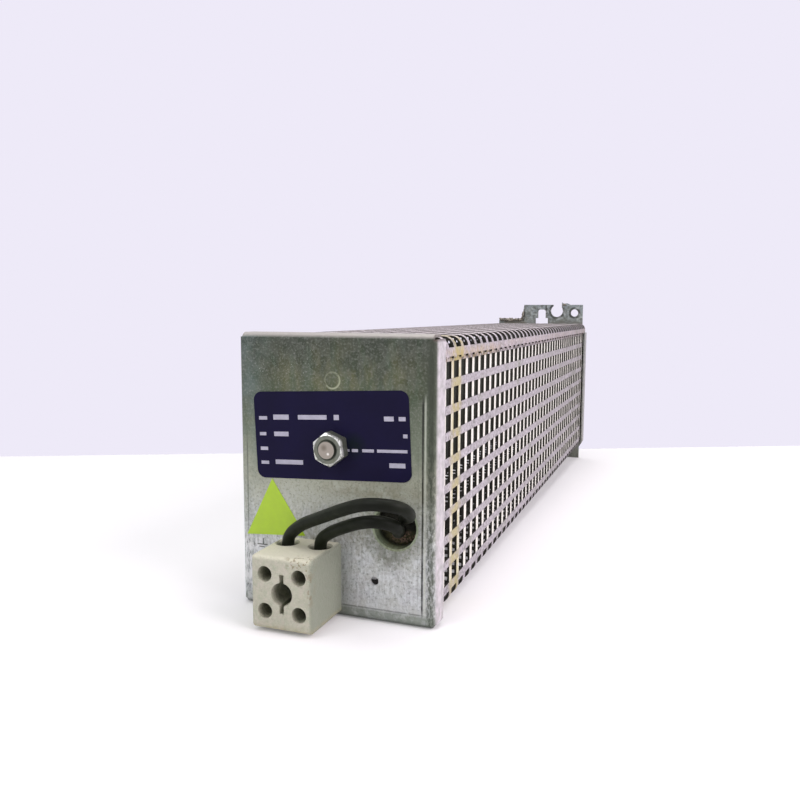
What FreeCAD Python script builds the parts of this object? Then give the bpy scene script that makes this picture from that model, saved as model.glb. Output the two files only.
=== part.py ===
import FreeCAD, Part
import math
import os
import re
import Sketcher

# Tubular wirewound resistor in a perforated, folded steel housing. Millimetres, Z up.
# Y runs along the clamping rod, from the terminal block to the rear plate, and X across the plates.
# The origin is the middle of the underside of the whole object.

SIZES = (
    ("BodyLength", 378.5, "front face of the front plate to the back of the rear plate"),
    ("PlateWidth", 72.6, "width over the flanges of both end plates"),
    ("PlateSheet", 1.0, "sheet of both end plates"),
    ("PlateBend", 2.5, "outer bend radius of both end plates"),
    ("FrontHeight", 96.6, "height of the front plate"),
    ("FrontFlange", 8.0, "depth of the front plate's four flanges"),
    ("CornerRelief", 1.6, "relief notch at each corner of the front plate"),
    ("RodHeight", 58.5, "rod axis above the foot of the front plate"),
    ("EarthHole", 2.9, "small plain hole in the front plate"),
    ("EarthHoleAcross", 14.7, "small hole, right of the middle"),
    ("EarthHoleHeight", 14.15, "small hole above the foot"),
    ("RingMark", 6.0, "pressed ring above the label"),
    ("RingMarkWidth", 0.5, "width of the pressed ring"),
    ("RingMarkDepth", 0.15, "depth of the pressed ring"),
    ("RingMarkAcross", 0.5, "pressed ring, left of the middle"),
    ("RingMarkHeight", 81.0, "pressed ring above the foot"),
    ("RearFlange", 11.5, "depth of the rear plate's side flanges"),
    ("RearFlangeTop", 88.8, "upper end of the rear flanges above the foot"),
    ("RearOverhang", 0.93, "rear plate's lower edge below the foot"),
    ("RearCornerCut", 5.83, "height of the diagonal cut at the rear plate's lower corners"),
    ("RearEdge", 32.75, "half width of the rear plate's flat"),
    ("ShoulderHeight", 98.2, "rear plate's top left corner above the foot"),
    ("ShoulderRise", 1.3, "rise of the shoulder towards the upper tab"),
    ("TabTop", 110.0, "top of the upper tab above the foot"),
    ("TabLeft", 14.2, "left foot of the upper tab from the middle"),
    ("TabLean", 1.7, "lean of the upper tab's left edge"),
    ("LipHeight", 1.9, "highest point of the torn lip above the tab"),
    ("LipWidth", 6.5, "length of the torn lip"),
    ("LowerTabDrop", 9.6, "lower tab's end below the foot"),
    ("LowerTabLeft", 14.3, "left edge of the lower tab from the middle"),
    ("KeyholeAcross", 1.3, "keyhole, right of the middle"),
    ("KeyholeWidth", 5.9, "narrow part of the keyhole"),
    ("KeyholeTop", 106.3, "top of the keyhole above the foot"),
    ("KeyholeRound", 1.5, "rounded top corners of the keyhole"),
    ("KeyholeHead", 9.6, "wide part of the keyhole"),
    ("KeyholeHeadTop", 99.65, "top of the wide part above the foot"),
    ("KeyholeHeadLength", 8.4, "height of the wide part"),
    ("NotchAcross", 12.9, "round notch, right of the middle"),
    ("NotchHeight", 105.2, "middle of the round notch above the foot"),
    ("NotchDiameter", 9.2, "round notch"),
    ("NotchMouth", 6.5, "open mouth of the notch"),
    ("NotchMouthShift", 0.55, "mouth's middle, right of the notch's middle"),
    ("FixingHole", 5.6, "plain hole in the upper tab"),
    ("FixingHoleAcross", 26.47, "plain hole, right of the middle"),
    ("FixingHoleHeight", 103.7, "plain hole above the foot"),
    ("LowerHole", 5.8, "plain hole in the lower tab"),
    ("LowerHoleAcross", 1.4, "lower hole, right of the middle"),
    ("LowerHoleDrop", 4.8, "lower hole below the foot"),
    ("CoverSheet", 0.8, "sheet of both covers"),
    ("CoverBend", 4.0, "outer bend radius of both covers"),
    ("CoverSetback", 1.6, "cover ends clear of the plates' bends"),
    ("SlideFit", 0.1, "gap between pieces that slide together"),
    ("LidLeg", 7.4, "height of the top cover's legs, bend included"),
    ("HolePitch", 20.0, "pitch of the square perforation"),
    ("HoleSize", 13.3, "side of a square hole"),
    ("HoleMargin", 3.0, "least solid strip at the covers' ends"),
    ("SideRowTop", 87.05, "upper edge of the highest row of side holes above the foot"),
    ("BendHoleReach", 1.0, "holes over the lid's bends run this far past the bend"),
    ("RodDiameter", 6.0, "clamping rod"),
    ("RodProud", 0.8, "rod in front of the front nut"),
    ("RodInset", 0.8, "rod's rear end inside the rear plate's back"),
    ("RodHoleGap", 0.2, "radial clearance of the rod in plain holes"),
    ("ThreadFit", 0.05, "radial gap between a screw and its nut"),
    ("NutFlats", 10.0, "width over the flats of the rod's nuts"),
    ("NutHeight", 5.0, "height of the rod's nuts"),
    ("NutTurn", 38.0, "angle of a corner of the front nut"),
    ("ClinchDiameter", 10.0, "clinch nut"),
    ("ClinchHeight", 4.1, "clinch nut in front of the rear plate"),
    ("ClinchShank", 8.4, "clinch nut's shank in the rear plate"),
    ("TubeClear", 38.25, "ceramic tube's ends from both end plates"),
    ("TubeDiameter", 41.0, "ceramic tube, outside"),
    ("TubeWall", 5.5, "wall of the ceramic tube"),
    ("LayerFit", 0.1, "gap between the layers on the tube"),
    ("WindingStart", 14.75, "winding's ends from the tube's ends"),
    ("WindingThick", 0.9, "resistance winding"),
    ("CoatThick", 0.9, "cement coat over the winding"),
    ("CoatLip", 3.0, "cement beyond the winding's ends"),
    ("DiscStep", 1.5, "rim of the centring discs proud of the tube"),
    ("DiscFlange", 5.0, "flange of a centring disc"),
    ("SpigotLength", 8.0, "spigot of a centring disc inside the tube"),
    ("WasherDiameter", 18.0, "washers on the rod"),
    ("WasherThick", 1.6, "washers on the rod"),
    ("BandInset", 6.75, "middle of a clamp band from the tube's end"),
    ("BandWidth", 10.0, "clamp bands"),
    ("BandSheet", 1.0, "clamp bands"),
    ("BandGap", 3.0, "gap between a band's ears"),
    ("BandAngle", 49.0, "ears, below the level to the right"),
    ("EarLength", 10.0, "tip of the ears from the tube's surface"),
    ("BandScrewOff", 5.5, "band screw from the tube's surface"),
    ("BandScrew", 4.0, "band screws"),
    ("BandScrewTail", 1.0, "band screw beyond its nut"),
    ("BandHead", 7.0, "heads of the band screws"),
    ("BandHeadHeight", 2.6, "heads of the band screws"),
    ("BandNutFlats", 7.0, "nuts of the band screws"),
    ("BandNutHeight", 3.2, "nuts of the band screws"),
    ("LugSheet", 0.8, "tongue of a cable lug"),
    ("LugWidth", 7.0, "tongue of a cable lug"),
    ("LugReach", 13.5, "mouth of a lug in front of its screw"),
    ("BarrelDiameter", 5.2, "crimped barrel of a lug"),
    ("BarrelLength", 8.0, "crimped barrel of a lug"),
    ("BushDiameter", 16.4, "cable bush"),
    ("BushBore", 15.0, "cable bush"),
    ("BushLength", 6.0, "cable bush"),
    ("BushAcross", 21.9, "cable bush, right of the middle"),
    ("BushHeight", 33.4, "cable bush above the foot"),
    ("CollarDiameter", 19.5, "collar of the bush behind the plate"),
    ("CollarThick", 1.5, "collar of the bush"),
    ("BlockWidth", 22.0, "terminal block"),
    ("BlockHeight", 24.2, "terminal block"),
    ("BlockDepth", 21.5, "terminal block in front of the plate"),
    ("BlockAcross", 8.5, "middle of the block, left of the middle"),
    ("BlockFoot", 1.8, "block's underside above the foot"),
    ("BlockRound", 1.2, "rounded edges of the block"),
    ("PoleSpacing", 12.2, "between the block's two poles"),
    ("ScrewSpacing", 12.2, "between the upper and lower clamp screws"),
    ("ScrewHole", 5.2, "clamp screw holes"),
    ("HeadHole", 7.6, "middle hole of the block"),
    ("HeadSeat", 9.8, "seat of the fixing screw's head in front of the plate"),
    ("SlotWidth", 1.6, "upright slot through the middle hole"),
    ("SlotHeight", 13.0, "upright slot through the middle hole"),
    ("ScrewGap", 0.1, "radial clearance of screws in plain holes"),
    ("WireChannel", 6.4, "upright wire channels"),
    ("ChannelDepth", 6.0, "channel axes in front of the plate"),
    ("Funnel", 8.4, "funnel mouth of a wire channel"),
    ("FunnelDepth", 1.5, "funnel of a wire channel"),
    ("InsertRecess", 4.0, "inserts below the top of the block"),
    ("InsertLength", 16.2, "brass inserts"),
    ("InsertBore", 3.0, "wire bore of an insert"),
    ("ClampScrew", 3.0, "clamp screws"),
    ("ClampHead", 4.6, "heads of the clamp screws"),
    ("ClampHeadHeight", 2.4, "heads of the clamp screws"),
    ("ClampHeadSeat", 9.9, "undersides of the clamp heads in front of the plate"),
    ("FixingScrew", 3.5, "screw that holds the block"),
    ("FixingHead", 6.4, "its head"),
    ("FixingHeadHeight", 2.6, "its head"),
    ("FixingTail", 0.6, "screw beyond its nut"),
    ("BlockNutFlats", 6.0, "nut behind the front plate"),
    ("BlockNutHeight", 2.8, "nut behind the front plate"),
    ("LabelWidth", 57.0, "rating label"),
    ("LabelHeight", 30.0, "rating label"),
    ("LabelRound", 3.0, "corners of the label"),
    ("LabelThick", 0.2, "rating label"),
    ("LabelAcross", 1.3, "middle of the label, left of the middle"),
    ("LabelRise", 3.9, "middle of the label above the rod axis"),
    ("LabelTilt", 2.6, "label turned anticlockwise, seen from the front"),
    ("StickerThick", 0.15, "triangular sticker"),
    ("StickerLeft", 33.9, "left tip of the sticker, left of the middle"),
    ("StickerRight", 11.0, "right tip of the sticker, left of the middle"),
    ("StickerApex", 23.6, "apex of the sticker, left of the middle"),
    ("StickerFoot", 25.4, "left tip above the foot"),
    ("StickerRise", 1.6, "right tip above the left tip"),
    ("StickerGap", 0.3, "apex below the label's edge"),
    ("LeadDiameter", 4.2, "insulated leads"),
    ("LeadRise", 4.6, "leads straight up from the inserts"),
    ("LeadRunIn", 14.0, "leads straight into the lugs"),
)

# Places and sizes that follow from the sheet.
DERIVED = {
    "FrontFace": "(BlockDepth - BodyLength) / 2",
    "BackFace": "FrontFace + BodyLength",
    "Foot": "LowerTabDrop",
    "RodAxis": "Foot + RodHeight",
    "PlateHalf": "PlateWidth / 2",
    "PlateInnerBend": "PlateBend - PlateSheet",
    "LidHalf": "PlateHalf - PlateSheet - SlideFit",
    "LidTop": "FrontHeight - PlateSheet - SlideFit",
    "LidFoot": "LidTop - LidLeg",
    "CoverHalf": "LidHalf - CoverSheet - SlideFit",
    "CoverFloor": "PlateSheet + SlideFit",
    "CoverTop": "LidTop - CoverBend - SlideFit",
    "CoverInnerBend": "CoverBend - CoverSheet",
    "CoverLength": "BodyLength - 2 * PlateSheet - 2 * CoverSetback",
    "Columns": "floor((CoverLength - HoleSize - 2 * HoleMargin) / HolePitch) + 1",
    "FirstColumn": "(CoverLength - (Columns - 1) * HolePitch) / 2",
    "SideRows": "floor((SideRowTop - HoleSize - CoverFloor - CoverSheet) / HolePitch) + 1",
    "LowestRow": "SideRowTop - HoleSize / 2 - (SideRows - 1) * HolePitch",
    "LidRows": "floor((2 * (LidHalf - CoverBend - BendHoleReach) - 3 * HoleSize / 2) / HolePitch) + 1",
    "FloorRows": "floor((2 * (CoverHalf - CoverBend) - HoleSize) / HolePitch) + 1",
    "ThreadBore": "RodDiameter + 2 * ThreadFit",
    "RodHole": "RodDiameter + 2 * RodHoleGap",
    "ClinchHole": "ClinchShank + 2 * SlideFit",
    "CableHole": "BushDiameter + SlideFit",
    "RodFront": "-LabelThick - NutHeight - RodProud",
    "TubeFront": "FrontFace + PlateSheet + TubeClear",
    "TubeLength": "BodyLength - 2 * PlateSheet - 2 * TubeClear",
    "TubeBore": "TubeDiameter - 2 * TubeWall",
    "DiscDiameter": "TubeDiameter + 2 * DiscStep",
    "EarReach": "TubeDiameter / 2 + EarLength",
    "BandScrewReach": "TubeDiameter / 2 + BandScrewOff",
    "BandBore": "TubeDiameter + 2 * LayerFit",
    "EarFace": "BandGap / 2 + BandSheet",
    "BandScrewHole": "BandScrew + 2 * ScrewGap",
    "LugAxis": "EarFace + LugSheet / 2",
    "BlockMiddle": "BlockFoot + BlockHeight / 2",
    "FixingHoleBore": "FixingScrew + 2 * ScrewGap",
    "LabelEdge": "RodHeight + LabelRise - LabelHeight / 2 / cos(LabelTilt)",
    "StickerTop": "LabelEdge - (StickerApex - LabelAcross) * tan(LabelTilt) - StickerGap",
    "InsertDiameter": "WireChannel - 2 * SlideFit",
    "InsertTop": "BlockFoot + BlockHeight - InsertRecess",
    "WindingBore": "TubeDiameter + 2 * LayerFit",
    "WindingOutside": "WindingBore + 2 * WindingThick",
    "CoatBore": "WindingOutside + 2 * LayerFit",
    "CoatDiameter": "CoatBore + 2 * CoatThick",
    "WindingLength": "TubeLength - 2 * WindingStart",
}

doc = FreeCAD.newDocument("tubular_resistor")
sheet = doc.addObject("Spreadsheet::Sheet", "Sizes")
for row, (alias, size, meaning) in enumerate(SIZES, start=1):
    sheet.set(f"A{row}", meaning)
    sheet.set(f"B{row}", str(size))
    sheet.setAlias(f"B{row}", alias)
doc.recompute()

ALIASES = {alias for alias, size, meaning in SIZES}
nodes = []


def formula(text):
    """The text as an expression on the sheet, with derived words written out."""
    def spell(match):
        word = match.group(0)
        if word in DERIVED:
            return "(" + formula(DERIVED[word]) + ")"
        return "Sizes." + word if word in ALIASES else word
    return re.sub(r"\b[A-Z][A-Za-z]+\b", spell, text)


def value(text):
    """The number that an expression on the sheet gives now."""
    return float(sheet.evalExpression(formula(text)))


def bind(item, prop, text):
    item.setExpression(prop, formula(text))


def place(item, across="0", along="0", up="0", turn=None):
    """Set a sub-part's place from the sheet, with a fixed turn."""
    turn = turn or FreeCAD.Rotation()
    item.Placement = FreeCAD.Placement(FreeCAD.Vector(value(across), value(along), value(up)), turn)
    for axis, text in zip("xyz", (across, along, up)):
        bind(item, "Placement.Base." + axis, text)


def new_body(name):
    body = doc.addObject("PartDesign::Body", name)
    body.Label = name
    nodes.append(body)
    return body


def new_sketch(body, name, plane, away="0"):
    """An empty sketch on one of the body's own origin planes, moved along the plane's normal."""
    sketch = body.newObject("Sketcher::SketchObject", name)
    support = next(item for item in body.Origin.OriginFeatures if item.Role == plane)
    sketch.AttachmentSupport = [(support, "")]
    sketch.MapMode = "FlatFace"
    bind(sketch, "AttachmentOffset.Base.z", away)
    return sketch


def hold(sketch, kind, geometry, point, text):
    """Constrain one coordinate of a point to an expression."""
    if text == "0":
        axis = -2 if kind == "DistanceX" else -1
        sketch.addConstraint(Sketcher.Constraint("PointOnObject", geometry, point, axis))
        return
    index = sketch.addConstraint(Sketcher.Constraint(kind, -1, 1, geometry, point, value(text)))
    sketch.setExpression(f"Constraints[{index}]", formula(text))


def draw_circle(sketch, across, up, diameter):
    centre = FreeCAD.Vector(value(across), value(up), 0)
    circle = sketch.addGeometry(Part.Circle(centre, FreeCAD.Vector(0, 0, 1), value(diameter) / 2))
    hold(sketch, "DistanceX", circle, 3, across)
    hold(sketch, "DistanceY", circle, 3, up)
    index = sketch.addConstraint(Sketcher.Constraint("Diameter", circle, value(diameter)))
    sketch.setExpression(f"Constraints[{index}]", formula(diameter))


def draw_outline(sketch, corners):
    """A closed outline. A corner is (across, up) or (across, up, radius); a rounded corner joins
    a level side and an upright one."""
    count = len(corners)
    spots = [FreeCAD.Vector(value(corner[0]), value(corner[1]), 0) for corner in corners]
    radii = [value(corner[2]) if len(corner) > 2 else 0.0 for corner in corners]
    sides = []
    kinds = []
    for index in range(count):
        after = (index + 1) % count
        way = (spots[after] - spots[index]).normalize()
        start = spots[index] + way * radii[index]
        end = spots[after] - way * radii[after]
        sides.append(sketch.addGeometry(Part.LineSegment(start, end)))
        level = corners[index][1] == corners[after][1]
        upright = corners[index][0] == corners[after][0]
        kinds.append("level" if level else "upright" if upright else "sloping")
        if level:
            sketch.addConstraint(Sketcher.Constraint("Horizontal", sides[-1]))
            hold(sketch, "DistanceY", sides[-1], 1, corners[index][1])
        elif upright:
            sketch.addConstraint(Sketcher.Constraint("Vertical", sides[-1]))
            hold(sketch, "DistanceX", sides[-1], 1, corners[index][0])
    for index in range(count):
        before = sides[index - 1]
        after = sides[index]
        if radii[index]:
            join_with_arc(sketch, before, after, spots[index], radii[index], corners[index][2])
            continue
        sketch.addConstraint(Sketcher.Constraint("Coincident", before, 2, after, 1))
        touching = {kinds[index - 1], kinds[index]}
        if "upright" not in touching:
            hold(sketch, "DistanceX", after, 1, corners[index][0])
        if "level" not in touching:
            hold(sketch, "DistanceY", after, 1, corners[index][1])


def join_with_arc(sketch, before, after, corner, radius, text):
    """Round a square corner between the end of one side and the start of the next."""
    start = sketch.getPoint(before, 2)
    end = sketch.getPoint(after, 1)
    centre = start + end - corner
    middle = centre + (corner - centre).normalize() * radius
    arc = sketch.addGeometry(Part.Arc(start, middle, end))
    first = 1 if sketch.getPoint(arc, 1).distanceToPoint(start) < radius / 100 else 2
    sketch.addConstraint(Sketcher.Constraint("Tangent", before, 2, arc, first))
    sketch.addConstraint(Sketcher.Constraint("Tangent", arc, 3 - first, after, 1))
    index = sketch.addConstraint(Sketcher.Constraint("Radius", arc, radius))
    sketch.setExpression(f"Constraints[{index}]", formula(text))


def box_corners(left, low, right, high):
    return [(left, low), (right, low), (right, high), (left, high)]


def hexagon_corners(across, up, flats, first_angle):
    """Corners of a hexagon with the given width over its flats."""
    return [
        (
            f"{across} + {flats} / sqrt(3) * cos({first_angle} + {60 * step})",
            f"{up} + {flats} / sqrt(3) * sin({first_angle} + {60 * step})",
        )
        for step in range(6)
    ]


def pad(body, name, sketch, length, reverse=False, both_ways=False):
    feature = body.newObject("PartDesign::Pad", name)
    feature.Profile = sketch
    bind(feature, "Length", length)
    feature.Reversed = reverse
    feature.Midplane = both_ways
    return feature


def pocket(body, name, sketch, depth=None, reverse=False):
    """A pocket to a depth against the sketch's normal, or right through both ways."""
    feature = body.newObject("PartDesign::Pocket", name)
    feature.Profile = sketch
    if depth is None:
        feature.Type = "ThroughAll"
        feature.Midplane = True
    else:
        bind(feature, "Length", depth)
        feature.Reversed = reverse
    return feature


def repeat(body, name, feature, directions):
    """Repeat a pocket along one or two sketch axes. A direction is (axis, pitch, count, reverse)."""
    pattern = doc.addObject("PartDesign::LinearPattern", name)
    body.addObject(pattern)
    pattern.Originals = [feature]
    for suffix, (axis, pitch, count, reverse) in zip(("", "2"), directions):
        setattr(pattern, "Direction" + suffix, (feature.Profile[0], [axis]))
        # A spacing of -1 stands for the common pitch.
        setattr(pattern, "Spacings" + suffix, [-1.0])
        setattr(pattern, "Mode" + suffix, "Spacing")
        setattr(pattern, "Reversed" + suffix, reverse)
        bind(pattern, "Offset" + suffix, pitch)
        bind(pattern, "Occurrences" + suffix, count)
    body.Tip = pattern
    return pattern


def turned_piece(name, profile, across, along, up):
    """A turned piece about a line along Y. The profile's corners are (along, radius)."""
    body = new_body(name)
    sketch = new_sketch(body, name + "_profile", "YZ_Plane")
    draw_outline(sketch, profile)
    feature = body.newObject("PartDesign::Revolution", name + "_turned")
    feature.Profile = sketch
    feature.ReferenceAxis = (sketch, ["H_Axis"])
    feature.Angle = 360
    place(body, across, along, up)
    return body


def hex_nut(name, flats, height, bore, turn, across, along, up):
    """A hexagon nut whose front face is at its place and whose body runs back along Y."""
    body = new_body(name)
    sketch = new_sketch(body, name + "_hexagon", "XZ_Plane")
    draw_outline(sketch, hexagon_corners("0", "0", flats, turn))
    draw_circle(sketch, "0", "0", bore)
    pad(body, name + "_body", sketch, height, reverse=True)
    place(body, across, along, up)
    return body


def front_end_plate():
    """Folded pan: two crossing channels that share the face, with relief notches at the corners."""
    body = new_body("front_end_plate")
    sides = new_sketch(body, "front_side_channel", "XY_Plane", "CornerRelief")
    draw_outline(sides, [
        ("-PlateHalf", "FrontFlange"),
        ("-PlateHalf", "0", "PlateBend"),
        ("PlateHalf", "0", "PlateBend"),
        ("PlateHalf", "FrontFlange"),
        ("PlateHalf - PlateSheet", "FrontFlange"),
        ("PlateHalf - PlateSheet", "PlateSheet", "PlateInnerBend"),
        ("PlateSheet - PlateHalf", "PlateSheet", "PlateInnerBend"),
        ("PlateSheet - PlateHalf", "FrontFlange"),
    ])
    pad(body, "front_side_flanges", sides, "FrontHeight - 2 * CornerRelief")
    ends = new_sketch(body, "front_end_channel", "YZ_Plane", "CornerRelief - PlateHalf")
    draw_outline(ends, [
        ("FrontFlange", "0"),
        ("0", "0", "PlateBend"),
        ("0", "FrontHeight", "PlateBend"),
        ("FrontFlange", "FrontHeight"),
        ("FrontFlange", "FrontHeight - PlateSheet"),
        ("PlateSheet", "FrontHeight - PlateSheet", "PlateInnerBend"),
        ("PlateSheet", "PlateSheet", "PlateInnerBend"),
        ("FrontFlange", "PlateSheet"),
    ])
    pad(body, "front_end_flanges", ends, "PlateWidth - 2 * CornerRelief")
    holes = new_sketch(body, "front_plate_holes", "XZ_Plane")
    draw_circle(holes, "0", "RodHeight", "RodHole")
    draw_circle(holes, "BushAcross", "BushHeight", "CableHole")
    draw_circle(holes, "EarthHoleAcross", "EarthHoleHeight", "EarthHole")
    draw_circle(holes, "-BlockAcross", "BlockMiddle", "FixingHoleBore")
    pocket(body, "front_plate_bores", holes)
    ring = new_sketch(body, "pressed_ring_outline", "XZ_Plane")
    draw_circle(ring, "-RingMarkAcross", "RingMarkHeight", "RingMark")
    draw_circle(ring, "-RingMarkAcross", "RingMarkHeight", "RingMark - 2 * RingMarkWidth")
    pocket(body, "pressed_ring", ring, "RingMarkDepth")
    place(body, "0", "FrontFace", "Foot")


def rear_end_plate():
    """Channel with side flanges, and the flat that carries both fixing tabs."""
    body = new_body("rear_end_plate")
    sides = new_sketch(body, "rear_side_channel", "XY_Plane", "-RearOverhang")
    draw_outline(sides, [
        ("-PlateHalf", "-RearFlange"),
        ("-PlateHalf", "0", "PlateBend"),
        ("PlateHalf", "0", "PlateBend"),
        ("PlateHalf", "-RearFlange"),
        ("PlateHalf - PlateSheet", "-RearFlange"),
        ("PlateHalf - PlateSheet", "-PlateSheet", "PlateInnerBend"),
        ("PlateSheet - PlateHalf", "-PlateSheet", "PlateInnerBend"),
        ("PlateSheet - PlateHalf", "-RearFlange"),
    ])
    pad(body, "rear_side_flanges", sides, "RearFlangeTop + RearOverhang")
    corners = new_sketch(body, "rear_corner_outline", "XZ_Plane")
    for sign in ("", "-"):
        draw_outline(corners, [
            (sign + "RearEdge", "-RearOverhang - PlateSheet"),
            (sign + "(PlateHalf + PlateSheet)", "-RearOverhang - PlateSheet"),
            (sign + "(PlateHalf + PlateSheet)", "RearCornerCut - RearOverhang"),
            (sign + "PlateHalf", "RearCornerCut - RearOverhang"),
            (sign + "RearEdge", "-RearOverhang"),
        ])
    pocket(body, "rear_corner_cuts", corners)
    flat = new_sketch(body, "rear_flat_outline", "XZ_Plane")
    lip_start = "NotchAcross + NotchMouthShift + NotchMouth / 2"
    draw_outline(flat, [
        ("-LowerTabLeft", "-LowerTabDrop"),
        ("RearEdge", "-LowerTabDrop"),
        ("RearEdge", "TabTop"),
        (lip_start + " + LipWidth", "TabTop"),
        (lip_start + " + 0.65 * LipWidth", "TabTop + 0.6 * LipHeight"),
        (lip_start + " + 0.23 * LipWidth", "TabTop + 0.5 * LipHeight"),
        (lip_start, "TabTop + LipHeight"),
        ("TabLean - TabLeft", "TabTop + LipHeight"),
        ("-TabLeft", "ShoulderHeight + ShoulderRise"),
        ("-RearEdge", "ShoulderHeight"),
        ("-RearEdge", "-RearOverhang"),
        ("-LowerTabLeft", "-RearOverhang"),
    ])
    pad(body, "rear_flat", flat, "PlateSheet")
    trim = new_sketch(body, "rear_tab_trim_outline", "XZ_Plane")
    draw_outline(trim, box_corners(
        "-PlateHalf", "TabTop", "NotchAcross + NotchMouthShift", "TabTop + LipHeight + PlateSheet"))
    pocket(body, "rear_tab_trim", trim)
    notch = new_sketch(body, "notch_outline", "XZ_Plane")
    draw_circle(notch, "NotchAcross", "NotchHeight", "NotchDiameter")
    pocket(body, "notch", notch)
    mouth = new_sketch(body, "notch_mouth_outline", "XZ_Plane")
    draw_outline(mouth, box_corners(
        "NotchAcross + NotchMouthShift - NotchMouth / 2", "NotchHeight",
        lip_start, "TabTop + LipHeight + PlateSheet"))
    pocket(body, "notch_mouth", mouth)
    keyhole = new_sketch(body, "keyhole_outline", "XZ_Plane")
    draw_outline(keyhole, [
        ("KeyholeAcross - KeyholeHead / 2", "KeyholeHeadTop - KeyholeHeadLength"),
        ("KeyholeAcross + KeyholeHead / 2", "KeyholeHeadTop - KeyholeHeadLength"),
        ("KeyholeAcross + KeyholeHead / 2", "KeyholeHeadTop"),
        ("KeyholeAcross + KeyholeWidth / 2", "KeyholeHeadTop"),
        ("KeyholeAcross + KeyholeWidth / 2", "KeyholeTop", "KeyholeRound"),
        ("KeyholeAcross - KeyholeWidth / 2", "KeyholeTop", "KeyholeRound"),
        ("KeyholeAcross - KeyholeWidth / 2", "KeyholeHeadTop"),
        ("KeyholeAcross - KeyholeHead / 2", "KeyholeHeadTop"),
    ])
    pocket(body, "keyhole", keyhole)
    holes = new_sketch(body, "rear_plate_holes", "XZ_Plane")
    draw_circle(holes, "FixingHoleAcross", "FixingHoleHeight", "FixingHole")
    draw_circle(holes, "LowerHoleAcross", "-LowerHoleDrop", "LowerHole")
    draw_circle(holes, "0", "RodHeight", "ClinchHole")
    pocket(body, "rear_plate_bores", holes)
    place(body, "0", "BackFace", "Foot")


def channel_profile(half, base, end, upwards):
    """Section of a folded cover: legs from its base to their ends, sheet on the inner side."""
    inner = f"{base} + CoverSheet" if upwards else f"{base} - CoverSheet"
    return [
        (f"-{half}", end),
        (f"-{half}", base, "CoverBend"),
        (half, base, "CoverBend"),
        (half, end),
        (f"{half} - CoverSheet", end),
        (f"{half} - CoverSheet", inner, "CoverInnerBend"),
        (f"CoverSheet - {half}", inner, "CoverInnerBend"),
        (f"CoverSheet - {half}", end),
    ]


def lower_cover():
    """Perforated trough: rows of square holes in both walls and in the floor."""
    body = new_body("lower_cover")
    section = new_sketch(body, "lower_cover_section", "XZ_Plane")
    draw_outline(section, channel_profile("CoverHalf", "CoverFloor", "CoverTop", True))
    pad(body, "lower_cover_sheet", section, "CoverLength", reverse=True)
    wall_hole = new_sketch(body, "wall_hole_outline", "YZ_Plane")
    draw_outline(wall_hole, box_corners(
        "FirstColumn - HoleSize / 2", "LowestRow - HoleSize / 2",
        "FirstColumn + HoleSize / 2", "LowestRow + HoleSize / 2"))
    wall_pocket = pocket(body, "wall_hole", wall_hole)
    repeat(body, "wall_holes", wall_pocket, [
        ("H_Axis", "HolePitch", "Columns", False),
        ("V_Axis", "HolePitch", "SideRows", False),
    ])
    first_row = "-(FloorRows - 1) * HolePitch / 2"
    floor_hole = new_sketch(body, "floor_hole_outline", "XY_Plane")
    draw_outline(floor_hole, box_corners(
        first_row + " - HoleSize / 2", "FirstColumn - HoleSize / 2",
        first_row + " + HoleSize / 2", "FirstColumn + HoleSize / 2"))
    floor_pocket = pocket(body, "floor_hole", floor_hole)
    repeat(body, "floor_holes", floor_pocket, [
        ("H_Axis", "HolePitch", "FloorRows", False),
        ("V_Axis", "HolePitch", "Columns", False),
    ])
    place(body, "0", "FrontFace + PlateSheet + CoverSetback", "Foot")


def top_cover():
    """Perforated lid: rows of square holes on top, and a row that wraps over each bend."""
    body = new_body("top_cover")
    section = new_sketch(body, "top_cover_section", "XZ_Plane")
    draw_outline(section, channel_profile("LidHalf", "LidTop", "LidFoot", False))
    pad(body, "top_cover_sheet", section, "CoverLength", reverse=True)
    bend_hole = new_sketch(body, "bend_hole_outline", "XZ_Plane", "-(FirstColumn - HoleSize / 2)")
    low = "LidTop - CoverBend - BendHoleReach"
    edge = "LidHalf - CoverBend - BendHoleReach"
    draw_outline(bend_hole, box_corners(edge, low, "PlateHalf", "FrontHeight"))
    draw_outline(bend_hole, box_corners("-PlateHalf", low, f"-({edge})", "FrontHeight"))
    bend_pocket = pocket(body, "bend_hole", bend_hole, "HoleSize")
    repeat(body, "bend_holes", bend_pocket, [("N_Axis", "HolePitch", "Columns", True)])
    first_row = "-(LidRows - 1) * HolePitch / 2"
    lid_hole = new_sketch(body, "lid_hole_outline", "XY_Plane", "LidTop")
    draw_outline(lid_hole, box_corners(
        first_row + " - HoleSize / 2", "FirstColumn - HoleSize / 2",
        first_row + " + HoleSize / 2", "FirstColumn + HoleSize / 2"))
    lid_pocket = pocket(body, "lid_hole", lid_hole)
    repeat(body, "lid_holes", lid_pocket, [
        ("H_Axis", "HolePitch", "LidRows", False),
        ("V_Axis", "HolePitch", "Columns", False),
    ])
    place(body, "0", "FrontFace + PlateSheet + CoverSetback", "Foot")


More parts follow.
